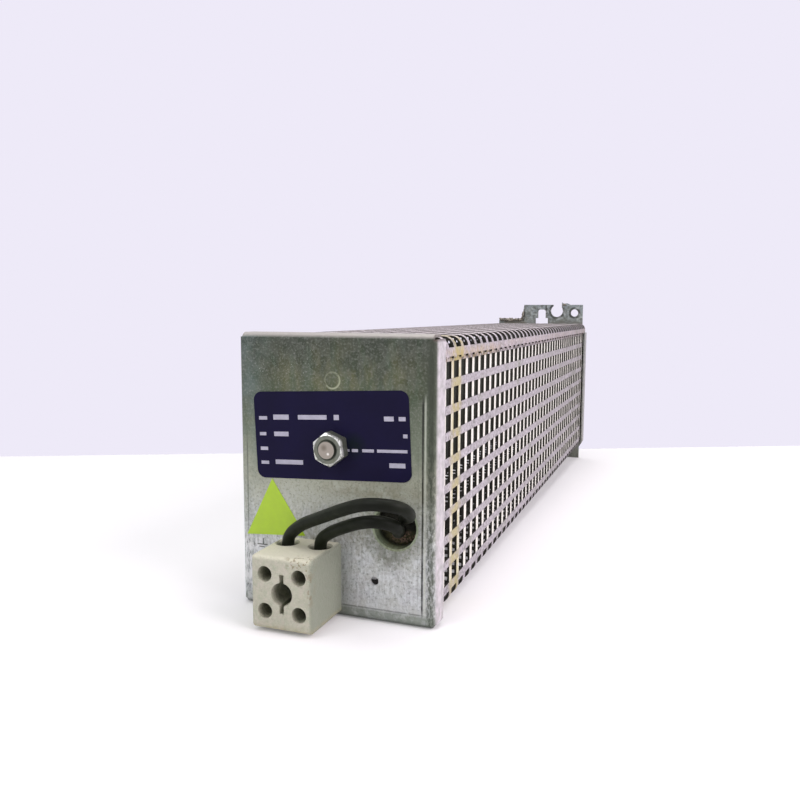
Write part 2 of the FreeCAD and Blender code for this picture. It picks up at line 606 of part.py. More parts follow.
def rod_and_nuts():
    """The threaded rod that clamps both end plates, and what is screwed on it."""
    rod_end = "BodyLength - RodInset"
    turned_piece("threaded_rod", box_corners("RodFront", "0", rod_end, "RodDiameter / 2"),
                 "0", "FrontFace", "RodAxis")
    front = hex_nut("front_nut", "NutFlats", "NutHeight", "ThreadBore", "NutTurn",
                    "0", "FrontFace - LabelThick - NutHeight", "RodAxis")
    bevel = new_sketch(front, "front_nut_bevel", "YZ_Plane")
    draw_outline(bevel, [
        ("0", "0.48 * NutFlats"),
        ("0", "0.62 * NutFlats"),
        ("0.0808 * NutFlats", "0.62 * NutFlats"),
    ])
    groove = front.newObject("PartDesign::Groove", "front_nut_corners")
    groove.Profile = bevel
    groove.ReferenceAxis = (bevel, ["H_Axis"])
    groove.Angle = 360
    hex_nut("front_inner_nut", "NutFlats", "NutHeight", "ThreadBore", "0",
            "0", "FrontFace + PlateSheet", "RodAxis")
    turned_piece("rear_clinch_nut", [
        ("-PlateSheet - ClinchHeight", "ThreadBore / 2"),
        ("0", "ThreadBore / 2"),
        ("0", "ClinchShank / 2"),
        ("-PlateSheet", "ClinchShank / 2"),
        ("-PlateSheet", "ClinchDiameter / 2"),
        ("-PlateSheet - ClinchHeight", "ClinchDiameter / 2"),
    ], "0", "BackFace", "RodAxis")


def resistor_tube():
    """Ceramic tube with its winding under cement, held between two centring discs."""
    turned_piece("ceramic_tube", box_corners("0", "TubeBore / 2", "TubeLength", "TubeDiameter / 2"),
                 "0", "TubeFront", "RodAxis")
    turned_piece("resistance_winding", box_corners(
        "WindingStart", "WindingBore / 2", "WindingStart + WindingLength", "WindingOutside / 2"),
        "0", "TubeFront", "RodAxis")
    coat_start = "WindingStart - CoatLip"
    coat_end = "WindingStart + WindingLength + CoatLip"
    turned_piece("cement_coat", [
        (coat_start, "WindingBore / 2"),
        ("WindingStart - LayerFit", "WindingBore / 2"),
        ("WindingStart - LayerFit", "CoatBore / 2"),
        ("WindingStart + WindingLength + LayerFit", "CoatBore / 2"),
        ("WindingStart + WindingLength + LayerFit", "WindingBore / 2"),
        (coat_end, "WindingBore / 2"),
        (coat_end, "CoatDiameter / 2"),
        (coat_start, "CoatDiameter / 2"),
    ], "0", "TubeFront", "RodAxis")
    for end, sign, start in (("front", "-", "0"), ("rear", "", "TubeLength")):
        face = f"{sign}DiscFlange"
        spigot = "SpigotLength" if sign else "-SpigotLength"
        turned_piece(f"centring_disc_{end}", [
            (face, "RodHole / 2"),
            (spigot, "RodHole / 2"),
            (spigot, "TubeBore / 2 - LayerFit"),
            ("0", "TubeBore / 2 - LayerFit"),
            ("0", "DiscDiameter / 2"),
            (face, "DiscDiameter / 2"),
        ], "0", f"TubeFront + {start}", "RodAxis")
        washer = f"{sign}DiscFlange {sign or '+'} WasherThick"
        turned_piece(f"disc_washer_{end}", box_corners(face, "RodHole / 2", washer, "WasherDiameter / 2"),
                     "0", f"TubeFront + {start}", "RodAxis")
        nut_face = f"{washer} - NutHeight" if sign else washer
        hex_nut(f"disc_nut_{end}", "NutFlats", "NutHeight", "ThreadBore", "0",
                "0", f"TubeFront + {start} + {nut_face}", "RodAxis")


def clamp_bands():
    """At each end of the tube: an open band, its screw and nut, and the lug under the screw's head.
    X points out along the ears and Z across them in each piece's own frame."""
    turn = FreeCAD.Rotation(FreeCAD.Vector(0, 1, 0), value("BandAngle"))
    middles = {"front": "TubeFront + BandInset", "rear": "TubeFront + TubeLength - BandInset"}
    for end, middle in middles.items():
        band = new_body(f"band_{end}")
        ring = new_sketch(band, f"band_{end}_ring", "XZ_Plane")
        draw_circle(ring, "0", "0", "BandBore + 2 * BandSheet")
        pad(band, f"band_{end}_disc", ring, "BandWidth", both_ways=True)
        ears = new_sketch(band, f"band_{end}_ears_outline", "XZ_Plane")
        draw_outline(ears, box_corners("0", "-EarFace", "EarReach", "EarFace"))
        pad(band, f"band_{end}_ears", ears, "BandWidth", both_ways=True)
        bore = new_sketch(band, f"band_{end}_bore_outline", "XZ_Plane")
        draw_circle(bore, "0", "0", "BandBore")
        pocket(band, f"band_{end}_bore", bore)
        gap = new_sketch(band, f"band_{end}_gap_outline", "XZ_Plane")
        draw_outline(gap, box_corners("0", "-BandGap / 2", "EarReach + BandSheet", "BandGap / 2"))
        pocket(band, f"band_{end}_gap", gap)
        hole = new_sketch(band, f"band_{end}_hole_outline", "XY_Plane")
        draw_circle(hole, "BandScrewReach", "0", "BandScrewHole")
        pocket(band, f"band_{end}_hole", hole)

        screw = new_body(f"band_screw_{end}")
        head = new_sketch(screw, f"band_head_{end}_outline", "XY_Plane", "EarFace + LugSheet")
        draw_circle(head, "BandScrewReach", "0", "BandHead")
        pad(screw, f"band_head_{end}", head, "BandHeadHeight")
        shank = new_sketch(screw, f"band_shank_{end}_outline", "XY_Plane", "EarFace + LugSheet")
        draw_circle(shank, "BandScrewReach", "0", "BandScrew")
        pad(screw, f"band_shank_{end}", shank,
            "2 * EarFace + LugSheet + BandNutHeight + BandScrewTail", reverse=True)

        nut = new_body(f"band_nut_{end}")
        hexagon = new_sketch(nut, f"band_nut_{end}_outline", "XY_Plane", "-EarFace")
        draw_outline(hexagon, hexagon_corners("BandScrewReach", "0", "BandNutFlats", "30"))
        draw_circle(hexagon, "BandScrewReach", "0", "BandScrew + 2 * ThreadFit")
        pad(nut, f"band_nut_{end}_body", hexagon, "BandNutHeight", reverse=True)

        lug = new_body(f"lug_{end}")
        tongue = new_sketch(lug, f"lug_{end}_outline", "XY_Plane", "EarFace")
        inner = "BandScrewReach - LugWidth / 2"
        outer = "BandScrewReach + LugWidth / 2"
        draw_outline(tongue, [
            (inner, "BarrelLength / 2 - LugReach"),
            (outer, "BarrelLength / 2 - LugReach"),
            (outer, "BandHead / 2 + LugSheet", "0.4 * LugWidth"),
            (inner, "BandHead / 2 + LugSheet", "0.4 * LugWidth"),
        ])
        draw_circle(tongue, "BandScrewReach", "0", "BandScrewHole")
        pad(lug, f"lug_{end}_tongue", tongue, "LugSheet")
        barrel = new_sketch(lug, f"lug_{end}_barrel_outline", "XZ_Plane", "LugReach")
        draw_circle(barrel, "BandScrewReach", "LugAxis", "BarrelDiameter")
        pad(lug, f"lug_{end}_barrel", barrel, "BarrelLength", reverse=True)
        for piece in (band, screw, nut, lug):
            place(piece, "0", middle, "RodAxis", turn)


def cable_bush():
    turned_piece("cable_bush", [
        ("0", "BushBore / 2"),
        ("BushLength", "BushBore / 2"),
        ("BushLength", "BushDiameter / 2"),
        ("PlateSheet + CollarThick", "BushDiameter / 2"),
        ("PlateSheet + CollarThick", "CollarDiameter / 2"),
        ("PlateSheet", "CollarDiameter / 2"),
        ("PlateSheet", "BushDiameter / 2"),
        ("0", "BushDiameter / 2"),
    ], "BushAcross", "FrontFace", "Foot + BushHeight")


def terminal_block():
    """Moulded two-pole block with two upright wire channels and a middle hole for its screw."""
    body = new_body("terminal_block")
    face = new_sketch(body, "block_outline", "XZ_Plane")
    half = "BlockWidth / 2"
    high = "BlockHeight / 2"
    draw_outline(face, [
        (f"-{half}", f"-{high}", "BlockRound"),
        (half, f"-{high}", "BlockRound"),
        (half, high, "BlockRound"),
        (f"-{half}", high, "BlockRound"),
    ])
    solid = pad(body, "block_solid", face, "BlockDepth")
    doc.recompute()
    front = value("-BlockDepth")
    rim = [
        f"Edge{index}"
        for index, edge in enumerate(solid.Shape.Edges, start=1)
        if abs(edge.BoundBox.YMin - front) + abs(edge.BoundBox.YMax - front) < 1e-4
    ]
    rounded = body.newObject("PartDesign::Fillet", "block_front_edges")
    rounded.Base = (solid, rim)
    bind(rounded, "Radius", "0.9 * BlockRound")
    screws = new_sketch(body, "clamp_hole_outline", "XZ_Plane", "BlockDepth")
    for across in ("-PoleSpacing / 2", "PoleSpacing / 2"):
        for up in ("-ScrewSpacing / 2", "ScrewSpacing / 2"):
            draw_circle(screws, across, up, "ScrewHole")
    pocket(body, "clamp_holes", screws, "BlockDepth - ChannelDepth")
    seat = new_sketch(body, "head_hole_outline", "XZ_Plane", "BlockDepth")
    draw_circle(seat, "0", "0", "HeadHole")
    pocket(body, "head_hole", seat, "BlockDepth - HeadSeat")
    slot = new_sketch(body, "head_slot_outline", "XZ_Plane", "BlockDepth")
    draw_outline(slot, box_corners(
        "-SlotWidth / 2", "-SlotHeight / 2", "SlotWidth / 2", "SlotHeight / 2"))
    pocket(body, "head_slot", slot, "BlockDepth - HeadSeat")
    through = new_sketch(body, "fixing_bore_outline", "XZ_Plane")
    draw_circle(through, "0", "0", "FixingHoleBore")
    pocket(body, "fixing_bore", through)
    channels = new_sketch(body, "wire_channel_outline", "XY_Plane")
    for across in ("-PoleSpacing / 2", "PoleSpacing / 2"):
        draw_circle(channels, across, "-ChannelDepth", "WireChannel")
    pocket(body, "wire_channels", channels)
    for pole, sign in (("left", "-"), ("right", "")):
        funnel = new_sketch(body, f"funnel_{pole}_profile", "YZ_Plane", f"{sign}PoleSpacing / 2")
        draw_outline(funnel, [
            ("-ChannelDepth", "BlockHeight / 2 - FunnelDepth"),
            ("-ChannelDepth - WireChannel / 2", "BlockHeight / 2 - FunnelDepth"),
            ("-ChannelDepth - Funnel / 2", "BlockHeight / 2"),
            ("-ChannelDepth - Funnel / 2", "BlockHeight / 2 + FunnelDepth"),
            ("-ChannelDepth", "BlockHeight / 2 + FunnelDepth"),
        ])
        cut = body.newObject("PartDesign::Groove", f"funnel_{pole}")
        cut.Profile = funnel
        cut.ReferenceAxis = (funnel, ["Edge5"])
        cut.Angle = 360
    place(body, "-BlockAcross", "FrontFace", "Foot + BlockMiddle")


def cylinder_along_y(name, diameter, length, across, along, up):
    piece = doc.addObject("Part::Cylinder", name)
    bind(piece, "Radius", f"{diameter} / 2")
    bind(piece, "Height", length)
    place(piece, across, along, up, FreeCAD.Rotation(FreeCAD.Vector(1, 0, 0), -90))
    return piece


def block_metalwork():
    """Inserts, clamp screws, and the screw and nut that hold the block on the plate."""
    middle = "Foot + BlockMiddle"
    heights = (f"{middle} - ScrewSpacing / 2", f"{middle} + ScrewSpacing / 2")
    channel = "FrontFace - ChannelDepth"
    screws = []
    for number, across in enumerate(("-BlockAcross - PoleSpacing / 2", "-BlockAcross + PoleSpacing / 2"), 1):
        name = f"terminal_insert_{number}"
        bar = doc.addObject("Part::Cylinder", name + "_bar")
        bore = doc.addObject("Part::Cylinder", name + "_bore")
        for piece, diameter in ((bar, "InsertDiameter"), (bore, "InsertBore")):
            bind(piece, "Radius", f"{diameter} / 2")
            bind(piece, "Height", "InsertLength")
            place(piece, across, channel, "Foot + InsertTop - InsertLength")
        threads = [
            cylinder_along_y(f"{name}_thread_{level}", "ClampScrew + 2 * ThreadFit", "InsertDiameter / 2",
                             across, f"{channel} - InsertDiameter / 2", height)
            for level, height in enumerate(heights, 1)
        ]
        tools = doc.addObject("Part::MultiFuse", name + "_tools")
        tools.Shapes = [bore] + threads
        insert = doc.addObject("Part::Cut", name)
        insert.Base = bar
        insert.Tool = tools
        insert.Label = name
        nodes.append(insert)
        for level, height in enumerate(heights, 1):
            head = cylinder_along_y(f"clamp_head_{number}_{level}", "ClampHead", "ClampHeadHeight",
                                    across, "FrontFace - ClampHeadSeat - ClampHeadHeight", height)
            shank = cylinder_along_y(f"clamp_shank_{number}_{level}", "ClampScrew",
                                     "ClampHeadSeat - ChannelDepth - InsertBore / 2",
                                     across, "FrontFace - ClampHeadSeat", height)
            screw = doc.addObject("Part::Fuse", f"clamp_screw_{number}_{level}")
            screw.Base = head
            screw.Tool = shank
            screws.append(screw)
    group = doc.addObject("Part::Compound", "clamp_screws")
    group.Links = screws
    group.Label = "clamp_screws"
    nodes.append(group)
    turned_piece("block_screw", [
        ("-HeadSeat - FixingHeadHeight", "0"),
        ("PlateSheet + BlockNutHeight + FixingTail", "0"),
        ("PlateSheet + BlockNutHeight + FixingTail", "FixingScrew / 2"),
        ("-HeadSeat", "FixingScrew / 2"),
        ("-HeadSeat", "FixingHead / 2"),
        ("-HeadSeat - FixingHeadHeight", "FixingHead / 2"),
    ], "-BlockAcross", "FrontFace", middle)
    hex_nut("block_nut", "BlockNutFlats", "BlockNutHeight", "FixingScrew + 2 * ThreadFit", "30",
            "-BlockAcross", "FrontFace + PlateSheet", middle)


def stickers():
    """The tilted rating label, with a hole for the rod, and the plain triangular sticker."""
    label = doc.addObject("PartDesign::Body", "label_sheet")
    outline = new_sketch(label, "label_outline", "XZ_Plane")
    draw_outline(outline, [
        ("-LabelWidth / 2", "-LabelHeight / 2", "LabelRound"),
        ("LabelWidth / 2", "-LabelHeight / 2", "LabelRound"),
        ("LabelWidth / 2", "LabelHeight / 2", "LabelRound"),
        ("-LabelWidth / 2", "LabelHeight / 2", "LabelRound"),
    ])
    pad(label, "label_film", outline, "LabelThick")
    place(label, "-LabelAcross", "FrontFace", "RodAxis + LabelRise",
          FreeCAD.Rotation(FreeCAD.Vector(0, -1, 0), value("LabelTilt")))
    hole = cylinder_along_y("label_hole", "RodHole", "2 * LabelThick",
                            "0", "FrontFace - 1.5 * LabelThick", "RodAxis")
    pierced = doc.addObject("Part::Cut", "rating_label")
    pierced.Base = label
    pierced.Tool = hole
    pierced.Label = "rating_label"
    nodes.append(pierced)
    triangle = new_body("triangle_sticker")
    corners = new_sketch(triangle, "sticker_outline", "XZ_Plane")
    draw_outline(corners, [
        ("-StickerLeft", "StickerFoot"),
        ("-StickerRight", "StickerFoot + StickerRise"),
        ("-StickerApex", "StickerTop"),
    ])
    pad(triangle, "sticker_film", corners, "StickerThick")
    place(triangle, "0", "FrontFace", "Foot")


def lug_mouth(middle):
    """Middle of a lug's mouth, where a lead ends."""
    turn = FreeCAD.Rotation(FreeCAD.Vector(0, 1, 0), value("BandAngle"))
    local = FreeCAD.Vector(value("BandScrewReach"), value("-LugReach"), value("LugAxis"))
    return FreeCAD.Vector(0, value(middle), value("RodAxis")) + turn.multVec(local)


def lead(name, points):
    """An insulated lead: straight runs joined by arcs as large as their runs allow."""
    corners = len(points) - 2
    ends = [points[0]]
    edges = []
    radii = []
    for index in range(1, corners + 1):
        before = points[index] - points[index - 1]
        after = points[index + 1] - points[index]
        half_turn = before.getAngle(after) / 2
        reach = 0.45 * min(before.Length, after.Length)
        radii.append(reach / math.tan(half_turn))
        start = points[index] - before.normalize() * reach
        end = points[index] + after.normalize() * reach
        inward = (after - before).normalize()
        bulge = radii[-1] / math.cos(half_turn) - radii[-1]
        edges.append(Part.LineSegment(ends[-1], start).toShape())
        edges.append(Part.Arc(start, points[index] + inward * bulge, end).toShape())
        ends.append(end)
    edges.append(Part.LineSegment(ends[-1], points[-1]).toShape())
    path = Part.Wire(edges)
    radius = value("LeadDiameter / 2")
    section = Part.Wire(Part.Circle(points[0], points[1] - points[0], radius).toShape())
    tube = path.makePipeShell([section], True, False)
    piece = doc.addObject("Part::Feature", name)
    piece.Shape = tube
    piece.Placement = FreeCAD.Placement()
    piece.Label = name
    nodes.append(piece)
    filled = tube.Volume / (math.pi * radius ** 2 * path.Length)
    print(name, "length", round(path.Length, 1), "volume ratio", round(filled, 4))
    print(name, "radii", [round(radius, 1) for radius in radii])
    print(name, "runs", [round((b - a).Length, 1) for a, b in zip(points, points[1:])])


# Hand-chosen route points: right of the middle, behind the front face, above the foot.
LEAD_A_ROUTE = (
    (-12.7, -7.0, 29.9),
    (-7.2, -9.2, 34.0),
    (0.3, -12.0, 37.4),
    (8.9, -14.8, 41.4),
    (17.6, -17.2, 44.8),
    (25.3, -17.8, 45.4),
    (30.0, -14.2, 43.9),
    (30.7, -8.8, 40.2),
    (26.6, -3.7, 37.8),
    (24.2, 3.7, 36.7),
    (22.3, 12.0, 37.4),
)
LEAD_B_ROUTE = (
    (-1.0, -7.0, 29.5),
    (3.7, -8.8, 32.6),
    (9.0, -11.0, 35.1),
    (14.2, -12.8, 37.3),
    (19.4, -13.9, 38.7),
    (23.8, -12.8, 38.4),
    (26.1, -8.1, 35.8),
    (24.0, -2.6, 32.5),
    (22.0, 4.0, 31.1),
    (21.3, 13.5, 29.9),
    (20.3, 29.0, 25.5),
    (18.2, 54.0, 15.5),
    (14.2, 90.0, 5.6),
    (10.7, 135.0, 4.4),
    (12.7, 180.0, 4.4),
    (16.2, 222.0, 4.4),
    (19.3, 253.0, 6.6),
    (20.5, 273.0, 16.2),
    (19.9, 288.0, 29.5),
)


def leads():
    """Both leads run from an insert of the block, through the bush, to a lug."""
    base = FreeCAD.Vector(0, value("FrontFace"), value("Foot"))
    routes = (
        ("lead_a", "-", LEAD_A_ROUTE, "TubeFront + BandInset"),
        ("lead_b", "", LEAD_B_ROUTE, "TubeFront + TubeLength - BandInset"),
    )
    for name, sign, route, middle in routes:
        pole = value(f"-BlockAcross + {sign}PoleSpacing / 2")
        start = base + FreeCAD.Vector(pole, value("-ChannelDepth"), value("InsertTop"))
        rise = start + FreeCAD.Vector(0, 0, value("LeadRise"))
        between = [base + FreeCAD.Vector(*point) for point in route]
        mouth = lug_mouth(middle)
        run_in = mouth - FreeCAD.Vector(0, value("LeadRunIn"), 0)
        lead(name, [start, rise] + between + [run_in, mouth])


front_end_plate()
rear_end_plate()
lower_cover()
top_cover()
rod_and_nuts()
resistor_tube()
clamp_bands()
cable_bush()
terminal_block()
block_metalwork()
stickers()
leads()

doc.recompute()
for item in doc.Objects:
    if {"Invalid", "Error"} & set(item.State):
        raise RuntimeError(f"{item.Name} failed: {item.State}")
os.makedirs("parts", exist_ok=True)
for node in nodes:
    shape = node.Shape
    if shape.isNull() or not shape.isValid():
        raise RuntimeError(f"{node.Label} has no valid shape")
    shape.exportStep(os.path.join("parts", node.Label + ".step"))
print(len(nodes), "sub-parts written")
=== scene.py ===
import math

import bmesh
import bpy
from mathutils import Matrix, Vector, noise


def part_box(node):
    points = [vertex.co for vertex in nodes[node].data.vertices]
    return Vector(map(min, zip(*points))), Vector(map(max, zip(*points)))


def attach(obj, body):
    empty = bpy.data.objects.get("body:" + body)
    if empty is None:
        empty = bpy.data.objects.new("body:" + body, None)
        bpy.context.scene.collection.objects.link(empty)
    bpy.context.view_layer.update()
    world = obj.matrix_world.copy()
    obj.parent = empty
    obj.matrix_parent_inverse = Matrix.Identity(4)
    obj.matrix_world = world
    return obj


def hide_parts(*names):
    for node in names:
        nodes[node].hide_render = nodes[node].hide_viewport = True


# Tubular resistor in a perforated steel housing, dressed over its CAD frame.
# Lengths are written in millimetres and turned to metres where a piece is made.

MM = 0.001

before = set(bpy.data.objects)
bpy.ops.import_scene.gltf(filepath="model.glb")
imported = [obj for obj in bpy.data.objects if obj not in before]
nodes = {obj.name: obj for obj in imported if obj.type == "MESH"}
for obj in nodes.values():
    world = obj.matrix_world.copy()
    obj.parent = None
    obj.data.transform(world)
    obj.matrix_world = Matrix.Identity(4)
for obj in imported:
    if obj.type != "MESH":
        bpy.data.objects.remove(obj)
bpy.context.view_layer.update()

# Places taken from the frame
FRONT_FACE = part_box("front_end_plate")[0].y / MM
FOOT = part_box("front_end_plate")[0].z / MM
PLATE_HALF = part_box("front_end_plate")[1].x / MM
BACK_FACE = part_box("rear_end_plate")[1].y / MM
ROD_HEIGHT = (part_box("threaded_rod")[0].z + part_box("threaded_rod")[1].z) / 2 / MM - FOOT

# Perforated covers; points of the sheet that lie closer than JOIN_UNDER become one
PITCH = 9.0
HOLE = 6.0
SHEET = 0.8
COVER_BEND = 4.0
JOIN_UNDER = 0.02
COLUMNS = 41
FIRST_COLUMN = 3.71
FIRST_ROW = 9.05
LID_HALF = 35.2
LID_TOP = 95.5
LID_RIGHT_FOOT = 88.1
LID_LEFT_FOOT = 87.2
LID_FIRST_LINE = 0.75
TROUGH_HALF = 34.3
TROUGH_FLOOR = 1.1
TROUGH_TOP = 91.4
TROUGH_FIRST_LINE = 1.35

# Label
LABEL_WIDTH = 57.0
LABEL_HEIGHT = 30.0
LABEL_THICK = 0.2
LABEL_ACROSS = -1.3
LABEL_MIDDLE = 62.4
LABEL_TILT = 2.6
PRINT_THICK = 0.03
BAR_SHARE = 0.6

# Screw that holds the terminal block, and the cross recess in its head, turned in radians
SCREW_HEAD_HEIGHT = 2.6
SCREW_SHANK = 3.5
RECESS_REACH = 4.6
RECESS_WIDTH = 1.2
RECESS_DEPTH = 1.5
RECESS_TURN = 0.4

# Leads: control points right of the middle, behind the front face, above the foot,
# the same as the route in the part's source
LEAD_DIAMETER = 4.2
LEAD_A = (
    (-14.6, -6.0, 22.0), (-14.6, -6.0, 26.6),
    (-12.7, -7.0, 29.9), (-7.2, -9.2, 34.0), (0.3, -12.0, 37.4), (8.9, -14.8, 41.4),
    (17.6, -17.2, 44.8), (25.3, -17.8, 45.4), (30.0, -14.2, 43.9), (30.7, -8.8, 40.2),
    (26.6, -3.7, 37.8), (24.2, 3.7, 36.7), (22.3, 12.0, 37.4),
    (19.25, 18.5, 40.78), (19.25, 32.5, 40.78),
)
LEAD_B = (
    (-2.4, -6.0, 22.0), (-2.4, -6.0, 26.6),
    (-1.0, -7.0, 29.5), (3.7, -8.8, 32.6), (9.0, -11.0, 35.1), (14.2, -12.8, 37.3),
    (19.4, -13.9, 38.7), (23.8, -12.8, 38.4), (26.1, -8.1, 35.8), (24.0, -2.6, 32.5),
    (22.0, 4.0, 31.1), (21.3, 13.5, 29.9), (20.3, 29.0, 25.5), (18.2, 54.0, 15.5),
    (14.2, 90.0, 5.6), (10.7, 135.0, 4.4), (12.7, 180.0, 4.4), (16.2, 222.0, 4.4),
    (19.3, 253.0, 6.6), (20.5, 273.0, 16.2), (19.9, 288.0, 29.5),
    (19.25, 305.0, 40.78), (19.25, 319.0, 40.78),
)

# Crumbs along the rear plate's upper edge, in front of its back face, and dust in the bush
CRUMB_SMALLEST = 0.25
CRUMB_LARGEST = 0.95
CRUMBS_FRONT = 1.9
CRUMBS_BACK = 1.2
BUSH_ACROSS = 21.9
BUSH_ABOVE = 33.4
DUST_HALF = 7.45
DUST_DEPTH = 5.6
DUST_THICK = 0.9

# Photograph: camera place in millimetres in the frame, its turn in degrees and its lens
CAMERA_PLACE = (109.1, -407.4, 112.9)
CAMERA_YAW = -20.49
CAMERA_DOWN = 6.49
CAMERA_ROLL = 0.21
CAMERA_LENS = 34.46

# Light of the room, floor and backdrop. The floor touches the end of the lower tab, at
# FLOOR_LOW along the part, and rises towards the front plate's foot by FLOOR_RISE a millimetre.
ROOM_SHADE = "#eceaf2"
ROOM_LIGHT = 0.38
PAPER_SHADE = "#e9e8e9"
PAPER_GLOW = 0.12
FLOOR_LOW = 199.5
FLOOR_RISE = 0.02557
FLOOR_GAP = 0.05
BACKDROP_SHADE = "#eeeaf8"
STAGE_REACH = 1300.0
BACKDROP_LEFT = (-309.0, 54.0)
BACKDROP_RIGHT = (124.0, 303.0)


def spot(right, behind, above):
    """A place in metres from millimetres right of the middle, behind the front face and above
    the foot."""
    return Vector((right, FRONT_FACE + behind, FOOT + above)) * MM


def linear(shade):
    """Linear colour of an sRGB hex value."""
    parts = [int(shade[start:start + 2], 16) / 255 for start in (1, 3, 5)]
    return [part / 12.92 if part <= 0.04045 else ((part + 0.055) / 1.055) ** 2.4
            for part in parts] + [1.0]


def add(tree, kind, values=None, stops=None, **settings):
    """Add a node: its settings, its inputs as values or links, and the stops of a colour ramp."""
    item = tree.nodes.new(kind)
    for name, setting in settings.items():
        setattr(item, name, setting)
    for key, given in (values or {}).items():
        if isinstance(given, bpy.types.NodeSocket):
            tree.links.new(given, item.inputs[key])
        else:
            item.inputs[key].default_value = given
    if stops:
        ramp = item.color_ramp.elements
        ramp[0].position = stops[0][0]
        ramp[1].position = stops[-1][0]
        for place, shade in stops[1:-1]:
            ramp.new(place)
        for element, (place, shade) in zip(sorted(ramp, key=lambda part: part.position), stops):
            element.color = linear(shade)
    return item


def between(tree, number, low, high, soft):
    """1 where the number lies between two bounds, with soft ends."""
    rise, fall = (
        add(tree, "ShaderNodeMapRange", {
            "Value": number, "From Min": start, "From Max": end}).outputs[0]
        for start, end in ((low - soft, low + soft), (high + soft, high - soft)))
    return product(tree, rise, fall)


def product(tree, first, *others):
    """The product of several masks."""
    result = first
    for other in others:
        result = add(tree, "ShaderNodeMath", {0: result, 1: other}, operation="MULTIPLY").outputs[0]
    return result


def tint(tree, mask, strength, under, over):
    """Lay one colour over another through a mask."""
    over = linear(over) if isinstance(over, str) else over
    return add(tree, "ShaderNodeMix", {0: product(tree, mask, strength), 6: under, 7: over},
               data_type="RGBA").outputs[2]


class Finish:
    """A material with its shader's own numbers set, its colour so far, and places on it in
    photograph millimetres: across from the plate's left edge, behind its face, above its foot."""

    def __init__(self, name, shade="#808080", **sockets):
        self.material = bpy.data.materials.new(name)
        self.material.use_nodes = True
        self.tree = self.material.node_tree
        self.shader = self.tree.nodes["Principled BSDF"]
        for key, number in sockets.items():
            self.shader.inputs[key.replace("_", " ")].default_value = number
        where = add(self.tree, "ShaderNodeTexCoord").outputs["Object"]
        scaled = add(self.tree, "ShaderNodeVectorMath", {0: where, "Scale": 1 / MM},
                     operation="SCALE").outputs[0]
        corner = (PLATE_HALF, -FRONT_FACE, -FOOT)
        self.place = add(self.tree, "ShaderNodeVectorMath", {0: scaled, 1: corner},
                         operation="ADD").outputs[0]
        self.across, self.behind, self.above = add(
            self.tree, "ShaderNodeSeparateXYZ", {0: self.place}).outputs
        self.colour = linear(shade)

    def patches(self, grain, low, high, place=None):
        """Irregular patches of a size in millimetres, from 0 to 1."""
        cloud = add(self.tree, "ShaderNodeTexNoise", {
            "Vector": place or self.place, "Scale": 1 / grain, "Detail": 4.0, "Roughness": 0.6})
        return add(self.tree, "ShaderNodeMapRange", {
            "Value": cloud.outputs[0], "From Min": low, "From Max": high}).outputs[0]

    def away(self, across, above):
        """Distance from a line that runs straight back through the part."""
        flat = add(self.tree, "ShaderNodeVectorMath", {0: self.place, 1: (1.0, 0.0, 1.0)},
                   operation="MULTIPLY").outputs[0]
        return add(self.tree, "ShaderNodeVectorMath", {0: flat, 1: (across, 0.0, above)},
                   operation="DISTANCE").outputs["Value"]

    def zone(self, *masks, across=None, behind=None, above=None, patches=None):
        """A mask: the product of others, of bounds (low, high, softness) and of patches."""
        masks = list(masks)
        for number, bounds in ((self.across, across), (self.behind, behind), (self.above, above)):
            if bounds:
                masks.append(between(self.tree, number, *bounds))
        if patches:
            masks.append(self.patches(*patches))
        return product(self.tree, *masks)

    def stain(self, shade, strength, *masks, **bounds):
        """Lay a colour over what is there, inside a zone."""
        self.colour = tint(self.tree, self.zone(*masks, **bounds), strength, self.colour, shade)

    def spangle(self, crystal, strength):
        """Zinc crystals: cells that are each a little lighter or darker, under a fine mottle."""
        cells = add(self.tree, "ShaderNodeTexVoronoi", {
            "Vector": self.place, "Scale": 1 / crystal, "Randomness": 1.0})
        grey = add(self.tree, "ShaderNodeSeparateColor", {0: cells.outputs["Color"]}).outputs[0]
        dark = add(self.tree, "ShaderNodeMath", {0: 1.0, 1: grey}, operation="SUBTRACT").outputs[0]
        self.stain("#e6e6e0", strength, grey)
        self.stain("#2f332a", strength, dark)
        self.stain("#d8dad2", strength * 2.5, patches=(0.8, 0.50, 0.68))
        self.stain("#2c3028", strength * 3.0, patches=(1.0, 0.52, 0.70))
        return grey

    def relief(self, height, depth, under=None):
        """Bump of a depth in millimetres, over another bump."""
        values = {"Height": height, "Distance": depth * MM, "Strength": 1.0}
        if under:
            values["Normal"] = under
        bump = add(self.tree, "ShaderNodeBump", values).outputs[0]
        self.tree.links.new(bump, self.shader.inputs["Normal"])
        return bump

    def grit(self, grain, depth, detail=3.0):
        """Bump of a fine grain, both in millimetres."""
        cloud = add(self.tree, "ShaderNodeTexNoise", {
            "Vector": self.place, "Scale": 1 / grain, "Detail": detail}).outputs[0]
        return self.relief(cloud, depth)

    def done(self):
        self.tree.links.new(self.colour, self.shader.inputs["Base Color"])
        return self.material


# Materials

